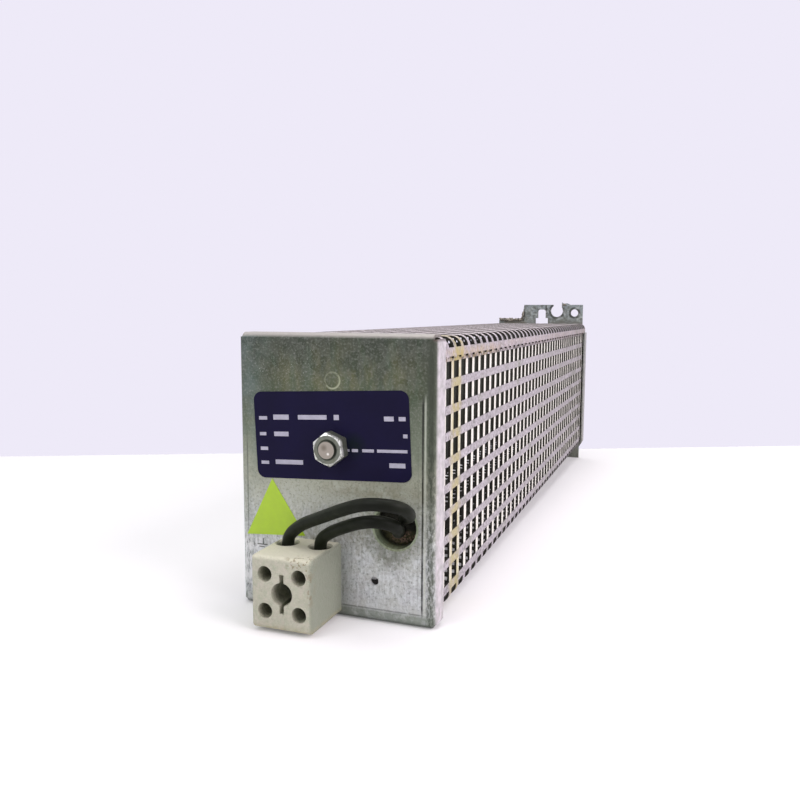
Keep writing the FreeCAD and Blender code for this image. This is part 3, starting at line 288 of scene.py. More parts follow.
def galvanised_plate():
    """Hot-dip galvanised sheet, pressed: grey-green zinc with a fine grain, much darker towards the
    top of the plate, partly its own tone and partly a painted reflection, with painted light on
    its folded side and grime round the cable hole."""
    zinc = Finish("galvanised pressed plate", Metallic=0.3, Roughness=0.5)
    tree = zinc.tree
    upright = add(tree, "ShaderNodeVectorMath", {0: zinc.place, 1: (1.0, 1.0, 0.35)},
                  operation="MULTIPLY").outputs[0]
    # The ramp from the foot up is much darker towards the top: partly the zinc's own tone, partly a
    # painted reflection of the white floor below and the dim room above
    wander = add(tree, "ShaderNodeTexNoise", {"Vector": upright, "Scale": 1 / 14, "Detail": 4.0})
    up = add(tree, "ShaderNodeMath", {0: wander.outputs[0], 1: 18.0, 2: zinc.above},
             operation="MULTIPLY_ADD")
    level = add(tree, "ShaderNodeMapRange", {
        "Value": up.outputs[0], "From Min": 0.0, "From Max": 108.0})
    zinc.colour = add(tree, "ShaderNodeValToRGB", {0: level.outputs[0]}, stops=(
        (0.10, "#b4b6b3"), (0.28, "#b2b4ae"), (0.45, "#a9ac9e"), (0.54, "#9da08d"),
        (0.64, "#69725f"), (0.78, "#404a36"), (0.86, "#363e2c"), (0.97, "#2a3225"))).outputs[0]
    # Stains: olive above the label, green over all the top, bluish at the left edge, violet-grey
    # low down
    zinc.stain("#716e3f", 0.50, across=(14.0, 62.0, 9.0), above=(74.0, 90.0, 7.0),
               patches=(7.0, 0.40, 0.62, upright))
    zinc.stain("#3a5038", 0.40, above=(60.0, 100.0, 12.0), patches=(5.0, 0.48, 0.64, upright))
    zinc.stain("#5f7070", 0.45, across=(-1.0, 9.0, 4.0), patches=(9.0, 0.35, 0.62))
    zinc.stain("#a8a5b0", 0.40, above=(-2.0, 26.0, 6.0), patches=(10.0, 0.42, 0.64))
    grey = zinc.spangle(2.2, 0.05)
    # Pale specks at the upper left, dark pits and flecks lower down
    zinc.stain("#c6cbc2", 0.8, zinc.patches(10.0, 0.42, 0.56), across=(4.0, 30.0, 6.0),
               above=(74.0, 94.0, 5.0), patches=(0.5, 0.62, 0.68))
    zinc.stain("#3f423a", 0.8, above=(2.0, 52.0, 4.0), patches=(0.8, 0.63, 0.68))
    for shade, strength, flecks in (
            ("#c3c8cb", 0.50, (6.0, 0.42, 0.60)), ("#d6dadb", 0.45, (1.3, 0.50, 0.62)),
            ("#6c7468", 0.50, (1.0, 0.53, 0.62)), ("#dadedf", 0.45, (1.2, 0.50, 0.60, upright))):
        zinc.stain(shade, strength, above=(3.0, 36.0, 8.0), patches=flecks)
    zinc.stain("#737a66", 0.45, above=(30.0, 56.0, 6.0), patches=(0.9, 0.53, 0.61))
    # Press lines near the edges, painted dark as shade in their grooves, the right one with a
    # lighter line beside it as a painted highlight, and darker bends and foot, painted shade
    broken = zinc.patches(2.2, 0.30, 0.5)
    breakup = add(tree, "ShaderNodeMapRange", {"Value": zinc.patches(5.0, 0.35, 0.5), "To Min": 0.75})
    right_line = zinc.zone(breakup.outputs[0], across=(67.45, 68.05, 0.15), above=(5.0, 76.0, 2.0))
    foot_line = zinc.zone(broken, across=(38.0, 68.0, 1.0), above=(4.35, 4.7, 0.25))
    zinc.stain("#c6cabc", 0.6, across=(68.35, 68.9, 0.2), above=(5.0, 76.0, 2.0))
    zinc.stain("#6a7466", 0.7, above=(-2.0, 4.2, 0.6), patches=(2.5, 0.2, 0.5))
    zinc.stain("#363e34", 0.85, above=(-2.0, 1.0, 1.6))
    zinc.stain("#3d4438", 0.75, across=(69.2, 72.0, 0.6), patches=(0.9, 0.46, 0.54, upright))
    zinc.stain("#33392b", 0.80, across=(69.4, 71.9, 0.7), above=(42.0, 99.0, 14.0))
    zinc.stain("#4f5749", 0.65, across=(69.8, 71.9, 0.6), above=(-2.0, 50.0, 9.0),
               patches=(2.4, 0.3, 0.6))
    zinc.stain("#14170f", 1.0, right_line)
    zinc.stain("#33382f", 0.7, across=(2.75, 3.1, 0.2), above=(4.0, 60.0, 3.0))
    zinc.stain("#2b2f28", 0.75, foot_line)
    zinc.stain("#4a4e45", 0.35, broken, across=(66.1, 66.4, 0.2), above=(8.0, 62.0, 3.0))
    # A painted highlight on the pressed ring, at its lower right
    ring = between(tree, zinc.away(35.8, 81.0), 2.45, 3.0, 0.15)
    lower = add(tree, "ShaderNodeMath", {0: zinc.across, 1: zinc.above}, operation="SUBTRACT")
    lit = add(tree, "ShaderNodeMapRange", {"Value": lower.outputs[0], "From Min": -48.0,
                                           "From Max": -42.0, "To Min": 0.35}).outputs[0]
    zinc.stain("#b4b99d", 0.8, ring, lit, patches=(1.2, 0.3, 0.45))
    # Grime round and below the cable hole, a painted shadow beside the block, scuffs at the left
    # edge
    halo = between(tree, zinc.away(57.6, 31.0), 0.0, 10.4, 2.0)
    zinc.stain("#5d614b", 0.6, halo, patches=(2.0, 0.15, 0.62))
    zinc.stain("#5d6153", 0.6, across=(52.5, 61.0, 2.4), above=(19.0, 27.0, 3.0),
               patches=(2.4, 0.36, 0.56))
    # Painted shadow of the block, along its right side
    zinc.stain("#555c50", 0.5, across=(37.0, 41.5, 2.4), above=(-2.0, 25.0, 3.0))
    for shade, strength, scuffs in (("#dcdddd", 0.8, (1.4, 0.44, 0.54, upright)),
                                    ("#5a5d58", 0.7, (0.9, 0.56, 0.64, upright))):
        zinc.stain(shade, strength, across=(-1.0, 8.5, 1.5), above=(2.0, 25.0, 3.0), patches=scuffs)
    # Earth mark scratched beside the block: stem, bar and foot
    for across, above in (((8.45, 8.95, 0.12), (22.2, 24.4, 0.15)),
                          ((6.3, 10.4, 0.15), (21.95, 22.4, 0.12)),
                          ((7.0, 9.2, 0.15), (21.1, 21.5, 0.12))):
        zinc.stain("#30332b", 0.85, across=across, above=above)
    # Smudges above the leads and over the block
    zinc.stain("#6f6a48", 0.45, across=(33.0, 66.0, 6.0), above=(42.5, 47.0, 1.8),
               patches=(4.0, 0.35, 0.58))
    zinc.stain("#6e6c58", 0.4, across=(38.0, 52.0, 4.0), above=(26.0, 33.0, 2.5),
               patches=(2.0, 0.38, 0.56))
    # Painted light on the folded right side and the top bend, a dark relief notch at the corner
    bright = tint(tree, zinc.patches(3.0, 0.35, 0.65), 1.0, linear("#cbc4c9"), "#a5a2a2")
    zinc.stain(bright, 1.0, across=(72.15, 80.0, 0.3))
    zinc.stain("#aaa59f", 0.85, above=(95.5, 99.0, 0.5))
    zinc.stain("#4c3f38", 0.7, across=(70.9, 74.0, 0.3), above=(94.4, 99.0, 0.4))
    gloss = add(tree, "ShaderNodeMapRange", {"Value": grey, "To Min": 0.44, "To Max": 0.58})
    tree.links.new(gloss.outputs[0], zinc.shader.inputs["Roughness"])
    marks = add(tree, "ShaderNodeMath", {0: right_line, 1: foot_line}, operation="ADD").outputs[0]
    grooves = add(tree, "ShaderNodeMath", {0: 1.0, 1: marks}, operation="SUBTRACT").outputs[0]
    zinc.relief(grooves, 0.10, zinc.grit(1.5, 0.22, 4.0))
    return zinc.done()


def galvanised_rear():
    """The same sheet on the rear plate: duller grey-green, dark along its sheared edges, with dirt
    by the tab."""
    zinc = Finish("galvanised rear plate", Metallic=0.3, Roughness=0.55)
    tree = zinc.tree
    up = add(tree, "ShaderNodeMapRange", {
        "Value": zinc.above, "From Min": -10.0, "From Max": 110.0}).outputs[0]
    zinc.colour = add(tree, "ShaderNodeValToRGB", {0: up}, stops=(
        (0.0, "#565a50"), (0.12, "#7c8078"), (0.8, "#7d837e"), (1.0, "#7f898c"))).outputs[0]
    zinc.spangle(2.6, 0.06)
    zinc.stain("#7e8270", 0.3, patches=(4.0, 0.45, 0.62))
    # Dirt at the foot of the tab and along the shoulder
    zinc.stain("#625b48", 0.8, across=(6.0, 26.0, 3.0), above=(95.0, 101.5, 1.2),
               patches=(1.4, 0.42, 0.52))
    zinc.stain("#5d5c50", 0.6, across=(30.0, 72.0, 3.0), above=(94.0, 98.5, 1.2),
               patches=(2.0, 0.3, 0.5))
    # Dark rings round the tab's openings and dark bands along its sides
    upper = zinc.zone(above=(97.0, 115.0, 0.8))
    broken = zinc.patches(1.6, 0.30, 0.46)
    lean = add(tree, "ShaderNodeMath", {0: zinc.above, 1: -0.131, 2: zinc.across},
               operation="MULTIPLY_ADD").outputs[0]
    for line, first, last, soft in (
            (zinc.away(62.77, 103.7), 1.8, 4.4, 0.4), (zinc.away(49.2, 105.2), 3.6, 6.2, 0.4),
            (lean, 9.0, 11.0, 0.3), (zinc.across, 70.6, 72.9, 0.3), (zinc.across, 40.3, 41.9, 0.3)):
        zinc.stain("#2c2d27", 0.9, between(tree, line, first, last, soft), upper, broken)
    zinc.stain("#4c4e45", 0.6, upper, patches=(2.2, 0.50, 0.60))
    zinc.stain("#b9c0bd", 0.5, upper, patches=(2.8, 0.50, 0.62))
    # Sheared edges, seen as thin dark lines: the metal between the two faces of the sheet
    back = BACK_FACE - FRONT_FACE
    zinc.stain("#2f302a", 0.75, behind=(back - 0.93, back - 0.07, 0.03), above=(97.0, 115.0, 0.5))
    # Painted light on the folded right side
    zinc.stain("#a9a4a4", 0.6, across=(72.1, 80.0, 0.35), patches=(2.5, 0.35, 0.55))
    zinc.grit(1.6, 0.15)
    return zinc.done()


def galvanised_cover():
    """Perforated galvanised sheet, punched and folded: pale lavender-grey zinc, with painted
    highlights in cream on the narrow bars between the holes of a row, and one run of yellow-olive
    grime near the front."""
    zinc = Finish("galvanised perforated sheet", Metallic=0.2, Roughness=0.65,
                  Specular_IOR_Level=0.2)
    tree = zinc.tree
    cloud = add(tree, "ShaderNodeTexNoise", {
        "Vector": zinc.place, "Scale": 1 / 14, "Detail": 5.0, "Roughness": 0.65})
    zinc.colour = add(tree, "ShaderNodeValToRGB", {0: cloud.outputs[0]}, stops=(
        (0.34, "#8b868b"), (0.46, "#b0a9b1"), (0.55, "#a7a0a6"), (0.66, "#8f8e88"))).outputs[0]
    zinc.stain("#66615f", 0.60, patches=(1.1, 0.46, 0.56))
    zinc.stain("#d2cbd2", 0.5, patches=(1.0, 0.50, 0.58))
    # Painted highlights: the narrow bars between the holes of a row, lit at their sides, are
    # painted cream
    bands = add(tree, "ShaderNodeMath", {0: zinc.above, 1: FIRST_ROW}, operation="SUBTRACT")
    row = add(tree, "ShaderNodeMath", {0: bands.outputs[0], 1: PITCH}, operation="FLOORED_MODULO")
    zinc.stain("#efece2", 0.85, between(tree, row.outputs[0], 0.2, HOLE - 0.2, 0.3),
               above=(9.0, 87.3, 0.4))
    # The roof is painted paler, as light on the top, and speckled
    zinc.stain("#d0c6c8", 0.85, above=(94.6, 99.0, 0.5))
    zinc.stain("#665e59", 0.7, above=(94.6, 99.0, 0.5), patches=(1.1, 0.50, 0.57))
    zinc.spangle(2.4, 0.05)
    # The lid's leg: pinkish, with dark dashes along its lower edge, painted shade of the notches
    # that show the sheet behind
    zinc.stain("#b89a90", 0.25, above=(87.4, 91.6, 0.5), patches=(9.0, 0.36, 0.6))
    zinc.stain("#4b3f38", 0.75, above=(87.0, 88.5, 0.2), patches=(2.6, 0.47, 0.53))
    # Grime: a run near the front and a yellow patch on the leg; the far end is mottled
    along = add(tree, "ShaderNodeMath", {0: zinc.patches(7.0, 0.2, 0.8), 1: 4.0, 2: zinc.behind},
                operation="MULTIPLY_ADD").outputs[0]
    zinc.stain("#ada263", 0.65, between(tree, along, 24.0, 35.0, 2.4), patches=(3.0, 0.26, 0.5))
    zinc.stain("#b09a52", 0.3, behind=(8.0, 85.0, 16.0), above=(86.0, 91.0, 1.0),
               patches=(3.0, 0.42, 0.56))
    far = add(tree, "ShaderNodeMapRange", {
        "Value": zinc.behind, "From Min": 150.0, "From Max": 376.0}).outputs[0]
    zinc.stain("#6f6e63", 0.7, far, patches=(4.0, 0.40, 0.60))
    zinc.grit(1.8, 0.2)
    return zinc.done()


def cover_inside():
    """The inside of the same sheet: dull and dirty, and painted dark olive as shade inside the
    housing.
    """
    # Dark olive: dirt and painted shade
    zinc = Finish("galvanised sheet, dirty inside", "#25231b", Metallic=0.2, Roughness=0.7)
    zinc.stain("#35322a", 0.6, patches=(8.0, 0.4, 0.7))
    return zinc.done()


def zinc_screw():
    """Zinc-plated steel, turned or cold-headed: silvery with a green cast, dulled. Round the rod
    the nut's rim has a painted highlight, its face is dull green and the thread's mouth has
    painted shade; the rod's sawn end is pinkish grey, with a dark nick and a painted glint."""
    steel = Finish("zinc-plated steel", "#70746b", Metallic=0.6, Roughness=0.36)
    tree = steel.tree
    steel.stain("#484d41", 0.45, patches=(1.3, 0.4, 0.7))
    steel.stain("#7d7d5c", 0.3, patches=(4.0, 0.45, 0.7))
    from_rod = steel.away(PLATE_HALF, ROD_HEIGHT)
    front = steel.zone(behind=(-8.0, -3.6, 0.3))
    breakup = steel.patches(1.1, 0.36, 0.5)
    end = product(tree, front, between(tree, from_rod, -1.0, 2.85, 0.1))
    # Painted highlight on the nut's rim, then painted shade in the thread's mouth
    steel.stain("#eef0ea", 0.85, front, between(tree, from_rod, 4.75, 6.5, 0.12), breakup)
    steel.stain("#23291f", 0.85, front, between(tree, from_rod, 2.85, 3.55, 0.12))
    steel.stain("#a39a90", 0.8, end)
    steel.stain("#5b5041", 0.6, end, between(tree, steel.away(35.5, 59.3), -1.0, 0.9, 0.5))
    # Painted glint on the rod's end
    steel.stain("#f0eee8", 0.8, end, between(tree, steel.away(37.0, 57.3), -1.0, 0.4, 0.2), breakup)
    steel.grit(0.5, 0.05)
    return steel.done()


def steatite():
    """Unglazed steatite, pressed and fired: cream, matt, with a sandy grain. Handling has left
    brown smudges by the upper right corner, and the holes are painted dark inside as shade."""
    stone = Finish("unglazed steatite", "#b9b8a5", Roughness=0.72, IOR=1.55)
    tree = stone.tree
    for shade, strength, grain in (
            ("#a3a491", 0.5, (5.0, 0.38, 0.62)), ("#7d7d66", 0.22, (0.7, 0.54, 0.66)),
            ("#dad8c9", 0.35, (0.8, 0.56, 0.68)), ("#c6bdb2", 0.4, (2.2, 0.46, 0.60)),
            ("#a2aa92", 0.4, (1.7, 0.50, 0.62))):
        stone.stain(shade, strength, patches=grain)
    # Painted light on the top, painted shade on the right side, yellowed foot
    stone.stain("#d9d6c0", 0.7, above=(24.9, 30.0, 0.5))
    stone.stain("#7b8172", 0.85, across=(37.9, 40.0, 0.5))
    stone.stain("#a19568", 0.45, above=(0.0, 3.4, 0.8), patches=(3.0, 0.3, 0.6))
    # Smudges at the corner and down the right edge
    corner = add(tree, "ShaderNodeVectorMath", {0: stone.place, 1: (34.4, -21.5, 25.0)},
                 operation="DISTANCE").outputs["Value"]
    stone.stain("#7a6a45", 0.7, between(tree, corner, -1.0, 4.6, 1.6), patches=(1.2, 0.54, 0.59))
    stone.stain("#7b6d52", 0.65, across=(37.0, 38.6, 0.4), behind=(-23.0, -19.0, 0.5),
                above=(12.0, 22.0, 2.0), patches=(1.8, 0.50, 0.58))
    # Painted shade inside the holes and channels, darker further in
    deep = add(tree, "ShaderNodeMapRange", {
        "Value": stone.behind, "From Min": -21.2, "From Max": -17.5}).outputs[0]
    stone.stain("#63664e", 0.6, deep, across=(17.5, 38.1, 0.2), above=(2.5, 25.3, 0.2))
    stone.stain("#3b3c30", 0.8, across=(17.5, 38.1, 0.2), behind=(-11.0, -1.5, 0.3),
                above=(3.0, 24.2, 0.8))
    stone.grit(0.9, 0.5, 4.0)
    return stone.done()


def cement():
    """Cement coat over the winding, brushed on and baked: grey-green, darkened with painted shade
    of the housing round it, matt, faintly ribbed by the wire under it, about 2.5 mm a turn here
    so that it shows."""
    # The base tone is darker than the cement's own: painted shade inside the housing
    coat = Finish("baked cement", "#2e3025", Roughness=0.85)
    coat.stain("#1e1f18", 0.6, patches=(5.0, 0.35, 0.65))
    coat.stain("#4c4c39", 0.4, patches=(1.2, 0.55, 0.65))
    turns = add(coat.tree, "ShaderNodeTexWave", {
        "Vector": coat.place, "Scale": 2 * math.pi / 2.5 / 20, "Distortion": 1.0},
        bands_direction="Y").outputs[1]
    coat.relief(turns, 0.15)
    return coat.done()


def plain_metal(name, shade, shadow, metallic, roughness, grain):
    """Small metalwork: one tone with darker patches of tarnish."""
    metal = Finish(name, shade, Metallic=metallic, Roughness=roughness)
    metal.stain(shadow, 0.6, patches=(grain, 0.4, 0.7))
    return metal.done()


def bush_plastic():
    """Moulded plastic bush: greenish white and waxy at its mouth, painted dark further in as shade
    in the bore, and dusty low down.
    """
    bush = Finish("moulded plastic bush", "#9aa58a", Roughness=0.45, IOR=1.5)
    bush.stain("#6d7a5d", 0.6, patches=(2.0, 0.35, 0.6))
    # Painted shade: darker further into the bore
    deep = add(bush.tree, "ShaderNodeMapRange", {
        "Value": bush.behind, "From Min": 2.8, "From Max": 4.6}).outputs[0]
    bush.stain("#2a2b1e", 0.92, deep)
    bush.stain("#5f5f3c", 0.6, above=(24.0, 27.6, 1.0), patches=(1.3, 0.44, 0.54))
    return bush.done()


def packed_dust_and_shade():
    """Fluff and crumbs in the bush round the leads: nearly black, partly as painted shade in the
    bore, olive and pinkish brown low down."""
    dust = Finish("packed dust and crumbs, painted shade", "#15150f", Roughness=0.95)
    dust.stain("#26261a", 0.8, patches=(1.4, 0.4, 0.6))
    dust.stain("#4d4c2b", 0.8, above=(24.0, 30.4, 1.6), patches=(1.6, 0.3, 0.5))
    dust.stain("#967c6d", 0.85, across=(55.5, 65.0, 1.2), above=(27.2, 30.6, 0.7),
               patches=(0.9, 0.46, 0.54))
    return dust.done()


def silicone():
    """Silicone rubber insulation, extruded: nearly black green-grey with a soft sheen, dusty and
    with painted light on its upper side, and painted shade where it goes into the bush."""
    rubber = Finish("silicone rubber insulation", "#1b1f16", Roughness=0.4, IOR=1.43,
                    Specular_IOR_Level=0.1)
    tree = rubber.tree
    rubber.stain("#2c3026", 0.4, patches=(3.5, 0.4, 0.65))
    # Dust and painted light: the upper side is lighter
    facing = add(tree, "ShaderNodeNewGeometry").outputs["Normal"]
    upwards = add(tree, "ShaderNodeSeparateXYZ", {0: facing}).outputs[2]
    top = add(tree, "ShaderNodeMapRange", {
        "Value": upwards, "From Min": 0.25, "From Max": 0.95}).outputs[0]
    rubber.stain("#55584e", 0.42, top, patches=(2.5, 0.2, 0.55))
    # Painted shade where the leads go into the bush
    rubber.stain("#10110d", 0.75, across=(50.0, 70.0, 6.0), behind=(-26.0, 30.0, 5.0))
    return rubber.done()


def dried_dirt():
    """Dried dirt: grey-brown crumbs, each light or dark."""
    dirt = Finish("dried dirt", "#a39d90", Roughness=0.9)
    dirt.stain("#2f2c25", 1.0, patches=(0.9, 0.46, 0.54))
    return dirt.done()


def label_film():
    """Printed polyester film, glossy: navy ink with a faint violet cast, and a painted shadow
    beside the nut.
    """
    film = Finish("navy printed film", "#14112c", Roughness=0.5, IOR=1.3, Specular_IOR_Level=0.2)
    film.stain("#19153a", 0.5, patches=(16.0, 0.35, 0.7))
    # Painted shadow beside the nut
    film.stain("#0c1a12", 0.75, between(film.tree, film.away(43.6, 59.6), -1.0, 3.0, 2.2),
               patches=(3.0, 0.2, 0.5))
    return film.done()


def plain_film(name, shade, second, roughness):
    """Printed film of one colour, with a faint unevenness of the ink."""
    film = Finish(name, shade, Roughness=roughness, IOR=1.5)
    film.stain(second, 0.5, patches=(3.0, 0.35, 0.65))
    return film.done()


# Mesh helpers

def mesh_object(name, mesh, *materials):
    """An object at the origin, with its finishes."""
    for material in materials:
        mesh.materials.append(material)
    piece = bpy.data.objects.new(name, mesh)
    bpy.context.scene.collection.objects.link(piece)
    return piece


def outward_mesh(name, work):
    """The mesh of finished work, with its faces pointing outwards."""
    bmesh.ops.recalc_face_normals(work, faces=work.faces[:])
    mesh = bpy.data.meshes.new(name)
    work.to_mesh(mesh)
    work.free()
    return mesh


def apply_modifiers(piece, *materials):
    """Turn the piece's modifiers into a plain mesh with its finishes."""
    bpy.context.view_layer.update()
    evaluated = piece.evaluated_get(bpy.context.evaluated_depsgraph_get())
    mesh = bpy.data.meshes.new_from_object(evaluated)
    piece.modifiers.clear()
    piece.data = mesh
    mesh.materials.clear()
    for material in materials:
        mesh.materials.append(material)
    return mesh


def set_inputs(modifier, tree, **sizes):
    """Fill the named inputs of a node tree by their identifiers."""
    modifier.node_group = tree
    for socket in tree.interface.items_tree:
        name = socket.name.replace(" ", "_").lower()
        if socket.in_out == "INPUT" and name in sizes:
            modifier[socket.identifier] = sizes[name]


# Perforated covers

def perforation_tree():
    """Nodes that lay a punched sheet along a folded outline. The sheet is a grid of thirds of the
    pitch, of which two in each direction are the hole and one the bar."""
    tree = bpy.data.node_groups.new("Folded perforated sheet", "GeometryNodeTree")
    ports = tree.interface
    ports.new_socket("Outline", in_out="INPUT", socket_type="NodeSocketGeometry")
    for name in ("Bend radius", "Pitch", "First line", "First column", "Sheet length"):
        ports.new_socket(name, in_out="INPUT", socket_type="NodeSocketFloat")
    for name in ("Line count", "Column lines"):
        ports.new_socket(name, in_out="INPUT", socket_type="NodeSocketInt")
    ports.new_socket("Finish", in_out="INPUT", socket_type="NodeSocketMaterial")
    ports.new_socket("Sheet", in_out="OUTPUT", socket_type="NodeSocketGeometry")
    given = add(tree, "NodeGroupInput").outputs
    curve = add(tree, "GeometryNodeMeshToCurve", {"Mesh": given["Outline"]}).outputs[0]
    folded = add(tree, "GeometryNodeFilletCurve", {
        "Curve": curve, "Radius": given["Bend radius"], "Count": 8}, mode="POLY").outputs[0]
    reach = add(tree, "GeometryNodeCurveLength", {"Curve": folded}).outputs[0]
    grid = add(tree, "GeometryNodeMeshGrid", {"Vertices X": given["Line count"],
                                              "Vertices Y": given["Column lines"]}).outputs["Mesh"]
    index = add(tree, "GeometryNodeInputIndex").outputs[0]
    third = add(tree, "ShaderNodeMath", {0: given["Pitch"], 1: 3.0}, operation="DIVIDE").outputs[0]
    half_third = add(tree, "ShaderNodeMath", {0: given["Pitch"], 1: 6.0},
                     operation="DIVIDE").outputs[0]

    def cell(count):
        ahead = add(tree, "ShaderNodeMath", {0: index, 1: 0.5}, operation="ADD").outputs[0]
        share = add(tree, "ShaderNodeMath", {0: ahead, 1: count}, operation="DIVIDE").outputs[0]
        line = add(tree, "ShaderNodeMath", {0: share}, operation="FLOOR").outputs[0]
        column = add(tree, "ShaderNodeMath", {0: index, 1: count},
                     operation="FLOORED_MODULO").outputs[0]
        return line, column

    line, column = cell(given["Column lines"])
    down = add(tree, "ShaderNodeMath", {0: line, 1: half_third, 2: given["First line"]},
               operation="MULTIPLY_ADD").outputs[0]
    down = add(tree, "ShaderNodeClamp", {"Value": down, "Min": 0.0, "Max": reach}).outputs[0]
    along = add(tree, "ShaderNodeMath", {0: column, 1: third, 2: given["First column"]},
                operation="MULTIPLY_ADD").outputs[0]
    along = add(tree, "ShaderNodeClamp", {
        "Value": along, "Min": 0.0, "Max": given["Sheet length"]}).outputs[0]
    fold = add(tree, "GeometryNodeSampleCurve", {"Curves": folded, "Length": down}, mode="LENGTH")
    shift = add(tree, "ShaderNodeCombineXYZ", {"Y": along}).outputs[0]
    place = add(tree, "ShaderNodeVectorMath", {0: fold.outputs["Position"], 1: shift},
                operation="ADD").outputs[0]
    laid = add(tree, "GeometryNodeSetPosition", {"Geometry": grid, "Position": place}).outputs[0]

    # A cell is a hole where neither its line nor its column is a bar, nor the sheet's rim
    cells = add(tree, "ShaderNodeMath", {0: given["Column lines"], 1: 1.0},
                operation="SUBTRACT").outputs[0]
    line, column = cell(cells)
    line = add(tree, "ShaderNodeMath", {0: line, 1: 2.0}, operation="DIVIDE").outputs[0]
    line = add(tree, "ShaderNodeMath", {0: line}, operation="FLOOR").outputs[0]
    masks = []
    for number in (line, column):
        part = add(tree, "ShaderNodeMath", {0: number, 1: 3.0},
                   operation="FLOORED_MODULO").outputs[0]
        bar = add(tree, "ShaderNodeMath", {0: part, 1: 1.0, 2: 0.5}, operation="COMPARE").outputs[0]
        masks.append(add(tree, "ShaderNodeMath", {0: 1.0, 1: bar}, operation="SUBTRACT").outputs[0])
    last = add(tree, "ShaderNodeMath", {0: cells, 1: 2.5}, operation="SUBTRACT").outputs[0]
    for limit, side in ((1.5, "GREATER_THAN"), (last, "LESS_THAN")):
        masks.append(add(tree, "ShaderNodeMath", {0: column, 1: limit}, operation=side).outputs[0])
    punched = add(tree, "GeometryNodeDeleteGeometry", {
        "Geometry": laid, "Selection": product(tree, *masks)}, domain="FACE", mode="ALL").outputs[0]
    merged = add(tree, "GeometryNodeMergeByDistance", {
        "Geometry": punched, "Distance": JOIN_UNDER * MM}).outputs[0]
    real = add(tree, "GeometryNodeRealizeInstances", {"Geometry": merged}).outputs[0]
    finished = add(tree, "GeometryNodeSetMaterial", {
        "Geometry": real, "Material": given["Finish"]}).outputs[0]
    add(tree, "NodeGroupOutput", {"Sheet": finished})
    return tree


def cover_sides(mesh, half, base, upwards):
    """Faces point outwards; those on the outer side of the fold get the first finish, and those on
    its inner side and the cut edges, which are sheared and dull, get the second: dirt and painted
    shade."""
    work = bmesh.new()
    work.from_mesh(mesh)
    bmesh.ops.recalc_face_normals(work, faces=work.faces[:])
    reach = (half - COVER_BEND) * MM
    bend = (FOOT + base + (COVER_BEND if upwards else -COVER_BEND)) * MM
    for face in work.faces:
        centre = face.calc_center_median()
        nearest = Vector((max(-reach, min(reach, centre.x)), centre.y,
                          max(bend, centre.z) if upwards else min(bend, centre.z)))
        face.material_index = int(face.normal.dot((centre - nearest).normalized()) < 0.5)
        face.smooth = True
    work.to_mesh(mesh)
    work.free()


def folded_cover(name, tree, half, base, right_end, left_end, first_line, outside, inside):
    """A perforated cover along its folded outline, right leg first."""
    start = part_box(name)[0].y / MM
    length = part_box(name)[1].y / MM - start
    corners = ((half, right_end), (half, base), (-half, base), (-half, left_end))
    points = [Vector((across, start, FOOT + above)) * MM for across, above in corners]
    outline = bpy.data.meshes.new(name + " outline")
    outline.from_pydata(points, [(0, 1), (1, 2), (2, 3)], [])
    piece = mesh_object(name + "_sheet", outline)
    reach = sum((b - a).length for a, b in zip(points, points[1:])) / MM
    reach -= 2 * (2 - math.pi / 2) * COVER_BEND
    lines = math.ceil((reach - first_line + PITCH / 3) / (PITCH / 6)) + 1
    holes = piece.modifiers.new("Perforation", "NODES")
    set_inputs(holes, tree, bend_radius=COVER_BEND * MM, pitch=PITCH * MM,
               first_line=(first_line - PITCH / 3) * MM,
               first_column=(FIRST_COLUMN - 2 * PITCH / 3) * MM, sheet_length=length * MM,
               line_count=lines, column_lines=3 * COLUMNS + 4, finish=outside)
    thick = piece.modifiers.new("Sheet", "SOLIDIFY")
    thick.thickness = SHEET * MM
    # The sheet grows towards the inside of its fold: the trough's and the lid's outlines run
    # opposite ways round
    thick.offset = -1.0 if right_end > base else 1.0
    mesh = apply_modifiers(piece, outside, inside)
    cover_sides(mesh, half, base, right_end > base)
    mesh.set_sharp_from_angle(angle=math.radians(35))
    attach(piece, "root")
    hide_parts(name)


def covers(outside, inside):
    """The trough and the lid over it."""
    tree = perforation_tree()
    folded_cover("lower_cover", tree, TROUGH_HALF, TROUGH_FLOOR, TROUGH_TOP, TROUGH_TOP,
                 TROUGH_FIRST_LINE, outside, inside)
    folded_cover("top_cover", tree, LID_HALF, LID_TOP, LID_RIGHT_FOOT, LID_LEFT_FOOT,
                 LID_FIRST_LINE, outside, inside)


# Leads

def lead(name, points, material):
    """An insulated lead as one smooth spline through the part's route."""
    curve = bpy.data.curves.new(name, "CURVE")
    curve.dimensions = "3D"
    curve.resolution_u = 16
    curve.bevel_depth = LEAD_DIAMETER / 2 * MM
    curve.bevel_resolution = 6
    spline = curve.splines.new("NURBS")
    spline.points.add(len(points) - 1)
    for point, place in zip(spline.points, points):
        point.co = (*spot(*place), 1.0)
    spline.order_u = 3
    spline.use_endpoint_u = True
    curve.materials.append(material)
    piece = bpy.data.objects.new(name + "_cord", curve)
    bpy.context.scene.collection.objects.link(piece)
    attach(piece, "root")
    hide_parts(name)


# Dirt

